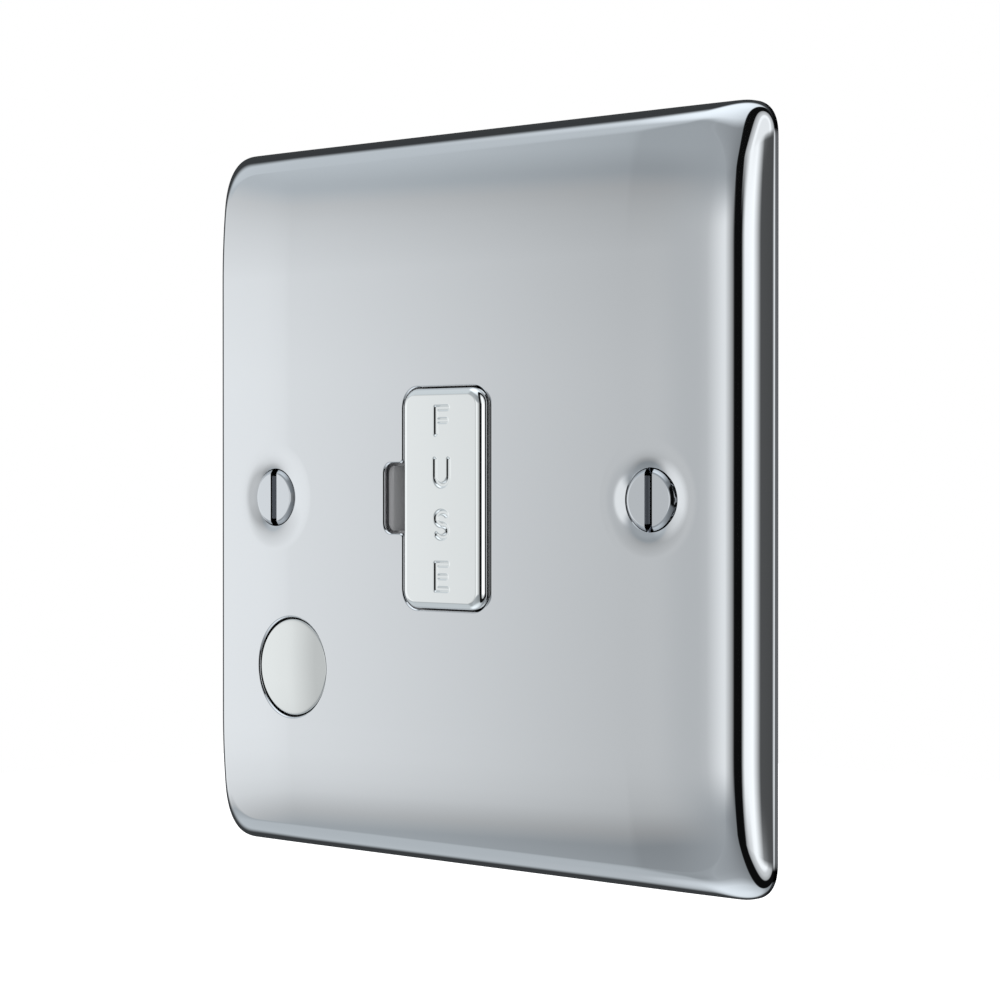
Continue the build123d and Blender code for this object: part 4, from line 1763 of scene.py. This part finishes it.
def all_finishes(effects: Effects) -> dict[Slot, bpy.types.Material]:
    """Builds all the finishes.

    Args:
        effects: The shared effects.

    Returns:
        The materials, by slot.
    """
    upright, level = (1.0, 1.0, 0.05), (0.05, 1.0, 1.0)
    made = {
        # Each chrome's second colour is painted shade behind its two depths: the plate's rim skirt, the
        # gaps round the cap and the plug, and the screws' slots and head walls.
        Slot.PLATE: Chrome((0.785, 0.785, 0.80), (0.10, 0.10, 0.105), -0.66, -0.56),
        Slot.CAP: Chrome((0.965, 0.965, 0.955), (0.06, 0.06, 0.06), -6.5, -5.8),
        Slot.PLUG: Chrome((0.82, 0.82, 0.805), (0.05, 0.05, 0.05), -6.1, -5.7),
        Slot.FIXING: Chrome((0.73, 0.74, 0.765), (0.42, 0.43, 0.45), -6.25, -5.95),
        Slot.GREY: Moulding((0.25, 0.25, 0.255), (0.31, 0.31, 0.315)),
        Slot.COVER: Moulding((0.20, 0.20, 0.205), (0.26, 0.26, 0.265)),
        Slot.BLACK: Moulding((0.018, 0.018, 0.02), (0.03, 0.03, 0.032)),
        Slot.CERAMIC: Glaze(),
        Slot.NICKEL: DrawnMetal((0.55, 0.53, 0.49), (0.72, 0.70, 0.66), upright),
        Slot.CONTACT: DrawnMetal((0.60, 0.43, 0.17), (0.80, 0.62, 0.30), upright),
        Slot.BLOCK: DrawnMetal((0.55, 0.39, 0.15), (0.76, 0.57, 0.27), level),
        Slot.TERMINAL: DrawnMetal((0.50, 0.49, 0.46), (0.70, 0.69, 0.66)),
        Slot.SMALL: DrawnMetal((0.46, 0.47, 0.48), (0.66, 0.67, 0.68)),
    }
    return {slot: finish.material(slot, effects) for slot, finish in made.items()}


@dataclass(frozen=True)
class Panel:
    """A surface of the studio between two angles; the gap to the next one is a soft edge."""

    name: str
    start: float
    end: float
    level: float
    end_level: float
    tint: Point3 = (1.0, 1.0, 1.0)


@dataclass(frozen=True)
class Lamp:
    """A square soft lamp that looks at the object, in metres and watts."""

    name: str
    spot: Point3
    power: float
    size: float


class Sky(Board):
    """The tree of the studio's walls and boxes, laid out over angles in degrees."""

    def ramp(
        self,
        angle: bpy.types.NodeSocket,
        panels: Sequence[Panel],
        limits: Point2,
        tint: Point3 = (1.0, 1.0, 1.0),
    ) -> bpy.types.NodeSocket:
        """Lays panels out over an angle.

        Args:
            angle: The angle.
            panels: The panels, in order.
            limits: Angles at the ramp's start and end.
            tint: The colour that all the panels share.

        Returns:
            The colour's socket.
        """
        low, high = limits
        share = self.math("DIVIDE", self.math("SUBTRACT", angle, low), high - low)
        node = self.add("ShaderNodeValToRGB", {"Fac": share})
        elements = node.color_ramp.elements
        elements.remove(elements[-1])
        stops: list[tuple[float, float, Point3]] = []
        for panel in panels:
            stops.append((panel.start, panel.level, panel.tint))
            stops.append((panel.end, panel.end_level, panel.tint))
        for k, (at, level, own) in enumerate(stops):
            position = (at - low) / (high - low)
            element = elements.new(position) if k else elements[0]
            element.position = position
            element.color = (*(level * a * b for a, b in zip(own, tint)), 1.0)
        return node.outputs["Color"]

    def window(self, angle: bpy.types.NodeSocket, outer: float, inner: float) -> bpy.types.NodeSocket:
        """A mask that rises softly from 0 at the outer angle to 1 at the inner one."""
        feeds = {"From Min": outer, "From Max": inner}
        return self.span(angle, feeds, interpolation_type="SMOOTHSTEP")

    def background(self, colour: object, strength: float = 1.0) -> bpy.types.NodeSocket:
        """A background of a colour, which is a socket or four numbers."""
        return self.add("ShaderNodeBackground", {"Color": colour, "Strength": strength}).outputs[0]

    def from_axis(
        self,
        way: bpy.types.NodeSocket,
        axis: Point2,
        squash: float = 1.0,
    ) -> bpy.types.NodeSocket:
        """Finds the angle between a direction and an axis.

        Args:
            way: The direction.
            axis: The axis, in degrees round from the front and up.
            squash: Share to which the direction's height is pressed first.

        Returns:
            The angle's socket.
        """
        a, e = (math.radians(angle) for angle in axis)
        level = math.cos(e)
        towards = (level * math.sin(a), -level * math.cos(a), math.sin(e))
        pressed = self.vector("MULTIPLY", {0: way, 1: (1.0, 1.0, squash)})
        unit = self.vector("NORMALIZE", {0: pressed})
        cosine = self.vector("DOT_PRODUCT", {0: unit, 1: towards}, "Value")
        return self.math("DEGREES", self.math("ARCCOSINE", cosine))


@dataclass(frozen=True)
class Studio:
    """Camera, floor, lamps and the soft boxes and flags that the chrome mirrors."""

    camera_at: Point3 = (228.63, -239.99, 2.46)
    yaw: float = 43.341
    pitch: float = 0.460
    lens: float = 101.85
    sensor: float = 36.0
    clip: Point2 = (0.01, 20.0)
    floor_z: float = -0.13
    floor_half: float = 0.8
    floor_shade: float = 0.82
    floor_glow: float = 0.5
    lamps: tuple[Lamp, ...] = (
        Lamp("key_lamp", (-0.5, -0.7, 0.8), 7.0, 0.8),
        Lamp("rear_lamp", (0.4, 0.8, 0.7), 6.0, 0.8),
    )
    plain_light: Point3 = (0.62, 0.63, 0.64)
    band_tint: Point3 = (0.955, 1.0, 1.02)
    wall_tint: Point3 = (0.915, 1.0, 1.06)
    strength: float = 1.274
    lean_to_left: float = -0.55
    band: tuple[Panel, ...] = (
        Panel("back wall", -180.0, -137.0, 0.10, 0.10),
        Panel("left soft box", -128.0, -54.0, 0.85, 0.755),
        Panel("edge of the box", -48.5, -44.5, 0.725, 0.61),
        Panel("front wall", -41.0, -25.6, 0.50, 0.50),
        Panel("pale door", -22.6, -12.0, 0.76, 0.73),
        Panel("shaded wall", 12.0, 25.0, 0.464, 0.273),
        Panel("black flag", 33.5, 58.0, 0.004, 0.004),
        Panel("right soft box", 67.0, 87.0, 0.88, 1.0),
        Panel("dark room", 105.0, 135.0, 0.075, 0.065),
        Panel("far soft box", 141.0, 165.0, 0.89, 0.89),
    )
    shade: tuple[Panel, ...] = (
        Panel("floor", -45.0, -25.0, 0.58, 0.60, (0.95, 1.0, 1.04)),
        Panel("floor line", -19.5, -18.0, 0.50, 0.48, (0.95, 1.0, 1.04)),
        Panel("lower slope", -16.2, -13.7, 0.61, 0.83),
        Panel("lower half", -12.0, -9.0, 0.905, 0.975),
        Panel("open middle", -6.0, 2.0, 1.0, 1.0),
        Panel("upper half", 4.5, 8.5, 0.93, 0.84),
        Panel("upper slope", 10.6, 12.6, 0.78, 0.70),
        Panel("upper line", 14.6, 15.4, 0.60, 0.60, (0.95, 1.0, 1.04)),
        Panel("upper wall", 18.0, 45.0, 0.69, 0.66, (0.95, 1.0, 1.04)),
    )
    wall: tuple[Panel, ...] = (
        Panel("floor below", -90.0, -65.0, 0.75, 0.65),
        Panel("floor", -50.0, -40.0, 0.34, 0.30),
        Panel("foot of the wall", -21.0, -12.0, 0.27, 0.26),
        Panel("wall", 12.0, 42.0, 0.275, 0.275),
        Panel("cornice", 53.0, 56.0, 0.62, 0.70),
        Panel("ceiling", 65.0, 90.0, 0.78, 0.90),
    )
    ring: tuple[Panel, ...] = (
        Panel("lamp cover", 0.0, 18.0, 0.80, 0.80),
        Panel("bright edge", 22.0, 26.0, 0.93, 0.93),
        Panel("margin", 30.0, 34.0, 0.60, 0.54),
        Panel("dim margin", 38.0, 41.0, 0.42, 0.36),
        Panel("black hood", 43.5, 90.0, 0.004, 0.004),
    )
    front_edge: Point2 = (53.0, 41.0)
    left_edge: Point2 = (-20.0, -36.0)
    strip_edge: Point2 = (15.0, 7.0)
    ring_at: Point2 = (96.7, 12.8)
    ring_squash: float = 0.7
    ring_edge: Point2 = (68.0, 65.0)
    dark_at: Point2 = (-150.0, 6.0)
    dark_edge: Point2 = (66.0, 50.0)
    dark_level: float = 0.04

    def direction(self) -> Vector:
        """The way the camera looks."""
        a, e = math.radians(self.yaw), math.radians(self.pitch)
        return Vector((-math.sin(a) * math.cos(e), math.cos(a) * math.cos(e), -math.sin(e)))

    def place_camera(self) -> None:
        """Puts the camera where the photograph was taken from."""
        data = bpy.data.cameras.new("camera")
        data.lens = self.lens
        data.sensor_width = self.sensor
        data.clip_start, data.clip_end = self.clip
        camera = shown("camera", data)
        camera.location = tuple(c * MM for c in self.camera_at)
        camera.rotation_euler = self.direction().to_track_quat("-Z", "Y").to_euler()
        bpy.context.scene.camera = camera

    def surroundings(self, sky: Sky) -> bpy.types.NodeSocket:
        """Lays out what the chrome mirrors: walls, a band of soft boxes, a hood and a dark corner.

        Args:
            sky: The world's tree.

        Returns:
            The colour's socket.
        """
        way = sky.add("ShaderNodeTexCoord").outputs["Generated"]
        x, y, z = sky.add("ShaderNodeSeparateXYZ", {"Vector": way}).outputs
        ahead = sky.math("MULTIPLY", y, -1.0)
        turn = sky.math("DEGREES", sky.math("ARCTAN2", x, ahead))
        lift = sky.math("DEGREES", sky.math("ARCSINE", z))
        gain = sky.math("MULTIPLY_ADD", x, self.lean_to_left, 1.0)
        plain = sky.ramp(lift, self.wall, (-90.0, 90.0), self.wall_tint)
        walls = sky.vector("SCALE", {0: plain, "Scale": gain})
        boxes = sky.ramp(turn, self.band, (-180.0, 180.0), self.band_tint)
        front = sky.vector("MULTIPLY", {0: boxes, 1: sky.ramp(lift, self.shade, (-45.0, 45.0))})
        off_level = sky.math("ABSOLUTE", lift)
        left = sky.window(turn, *self.left_edge)
        near_level = sky.math("MULTIPLY", left, sky.window(off_level, *self.front_edge))
        colour = sky.over(near_level, walls, front)
        from_ring = sky.from_axis(way, self.ring_at, self.ring_squash)
        hood = sky.ramp(from_ring, self.ring, (0.0, 90.0), self.band_tint)
        colour = sky.over(sky.window(from_ring, *self.ring_edge), colour, hood)
        corner = (*(self.dark_level * c for c in self.wall_tint), 1.0)
        from_dark = sky.from_axis(way, self.dark_at)
        colour = sky.over(sky.window(from_dark, *self.dark_edge), colour, corner)
        right = sky.window(turn, *reversed(self.left_edge))
        strip = sky.math("MULTIPLY", right, sky.window(off_level, *self.strip_edge))
        return sky.over(strip, colour, boxes)

    def light_world(self) -> None:
        """Builds the studio round the object: white to the camera, walls and boxes to the chrome."""
        world = bpy.data.worlds.new("studio")
        bpy.context.scene.world = world
        world.use_nodes = True
        sky = Sky(world.node_tree)
        mirrored = sky.background(self.surroundings(sky), self.strength)
        plain = sky.background((*self.plain_light, 1.0))
        glossy = sky.add("ShaderNodeLightPath").outputs["Is Glossy Ray"]
        lit = sky.choose(glossy, plain, mirrored)
        white = sky.background((1.0, 1.0, 1.0, 1.0))
        sky.add("ShaderNodeOutputWorld", {"Surface": sky.choose(sky.seen(), lit, white)})

    def lay_floor(self) -> None:
        """Lays a pale floor well below the plate, white to the camera where no shadow falls."""
        bm = bmesh.new()
        bmesh.ops.create_grid(bm, x_segments=1, y_segments=1, size=self.floor_half)
        bmesh.ops.translate(bm, vec=(0.0, 0.0, self.floor_z), verts=bm.verts)
        floor = plain_object("studio_floor", bm)
        floor.visible_glossy = False
        material = bpy.data.materials.new("studio_floor")
        material.use_nodes = True
        board = Board(material.node_tree)
        shade = (self.floor_shade, self.floor_shade, self.floor_shade, 1.0)
        paint = board.add("ShaderNodeBsdfDiffuse", {"Color": shade}).outputs["BSDF"]
        glow = board.add("ShaderNodeEmission", {"Strength": self.floor_glow}).outputs["Emission"]
        pale = board.add("ShaderNodeAddShader", {0: paint, 1: glow}).outputs["Shader"]
        board.add("ShaderNodeOutputMaterial", {"Surface": board.choose(board.seen(), paint, pale)})
        floor.data.materials.append(material)

    def hang_lamps(self) -> None:
        """Hangs the lamps, which light the mouldings and leave the mirrors alone."""
        for lamp in self.lamps:
            data = bpy.data.lights.new(lamp.name, "AREA")
            data.energy = lamp.power
            data.size = lamp.size
            hung = shown(lamp.name, data)
            hung.location = lamp.spot
            hung.rotation_euler = (-Vector(lamp.spot)).to_track_quat("-Z", "Y").to_euler()
            hung.visible_glossy = False

    def build(self) -> None:
        """Sets up everything that isn't the object."""
        self.place_camera()
        self.light_world()
        self.lay_floor()
        self.hang_lamps()
        bpy.context.scene.view_settings.view_transform = "Standard"


def main() -> None:
    """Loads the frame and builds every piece."""
    logging.basicConfig(level=logging.INFO, format="%(name)s: %(message)s")
    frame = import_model()
    groups = frame["record"]["behaviour"]["bodies"]
    bodies = {node: Body(name) for name, members in groups.items() for node in members}
    Studio().build()
    shop = Workshop(all_finishes(Effects()), bodies)
    FrontPlate().dress(shop)
    CarrierCap().dress(shop)
    FlexPlug().dress(shop)
    Fasteners().dress(shop)
    SoftSolids().dress(shop, frame["nodes"])


if __name__ == "__main__":
    main()
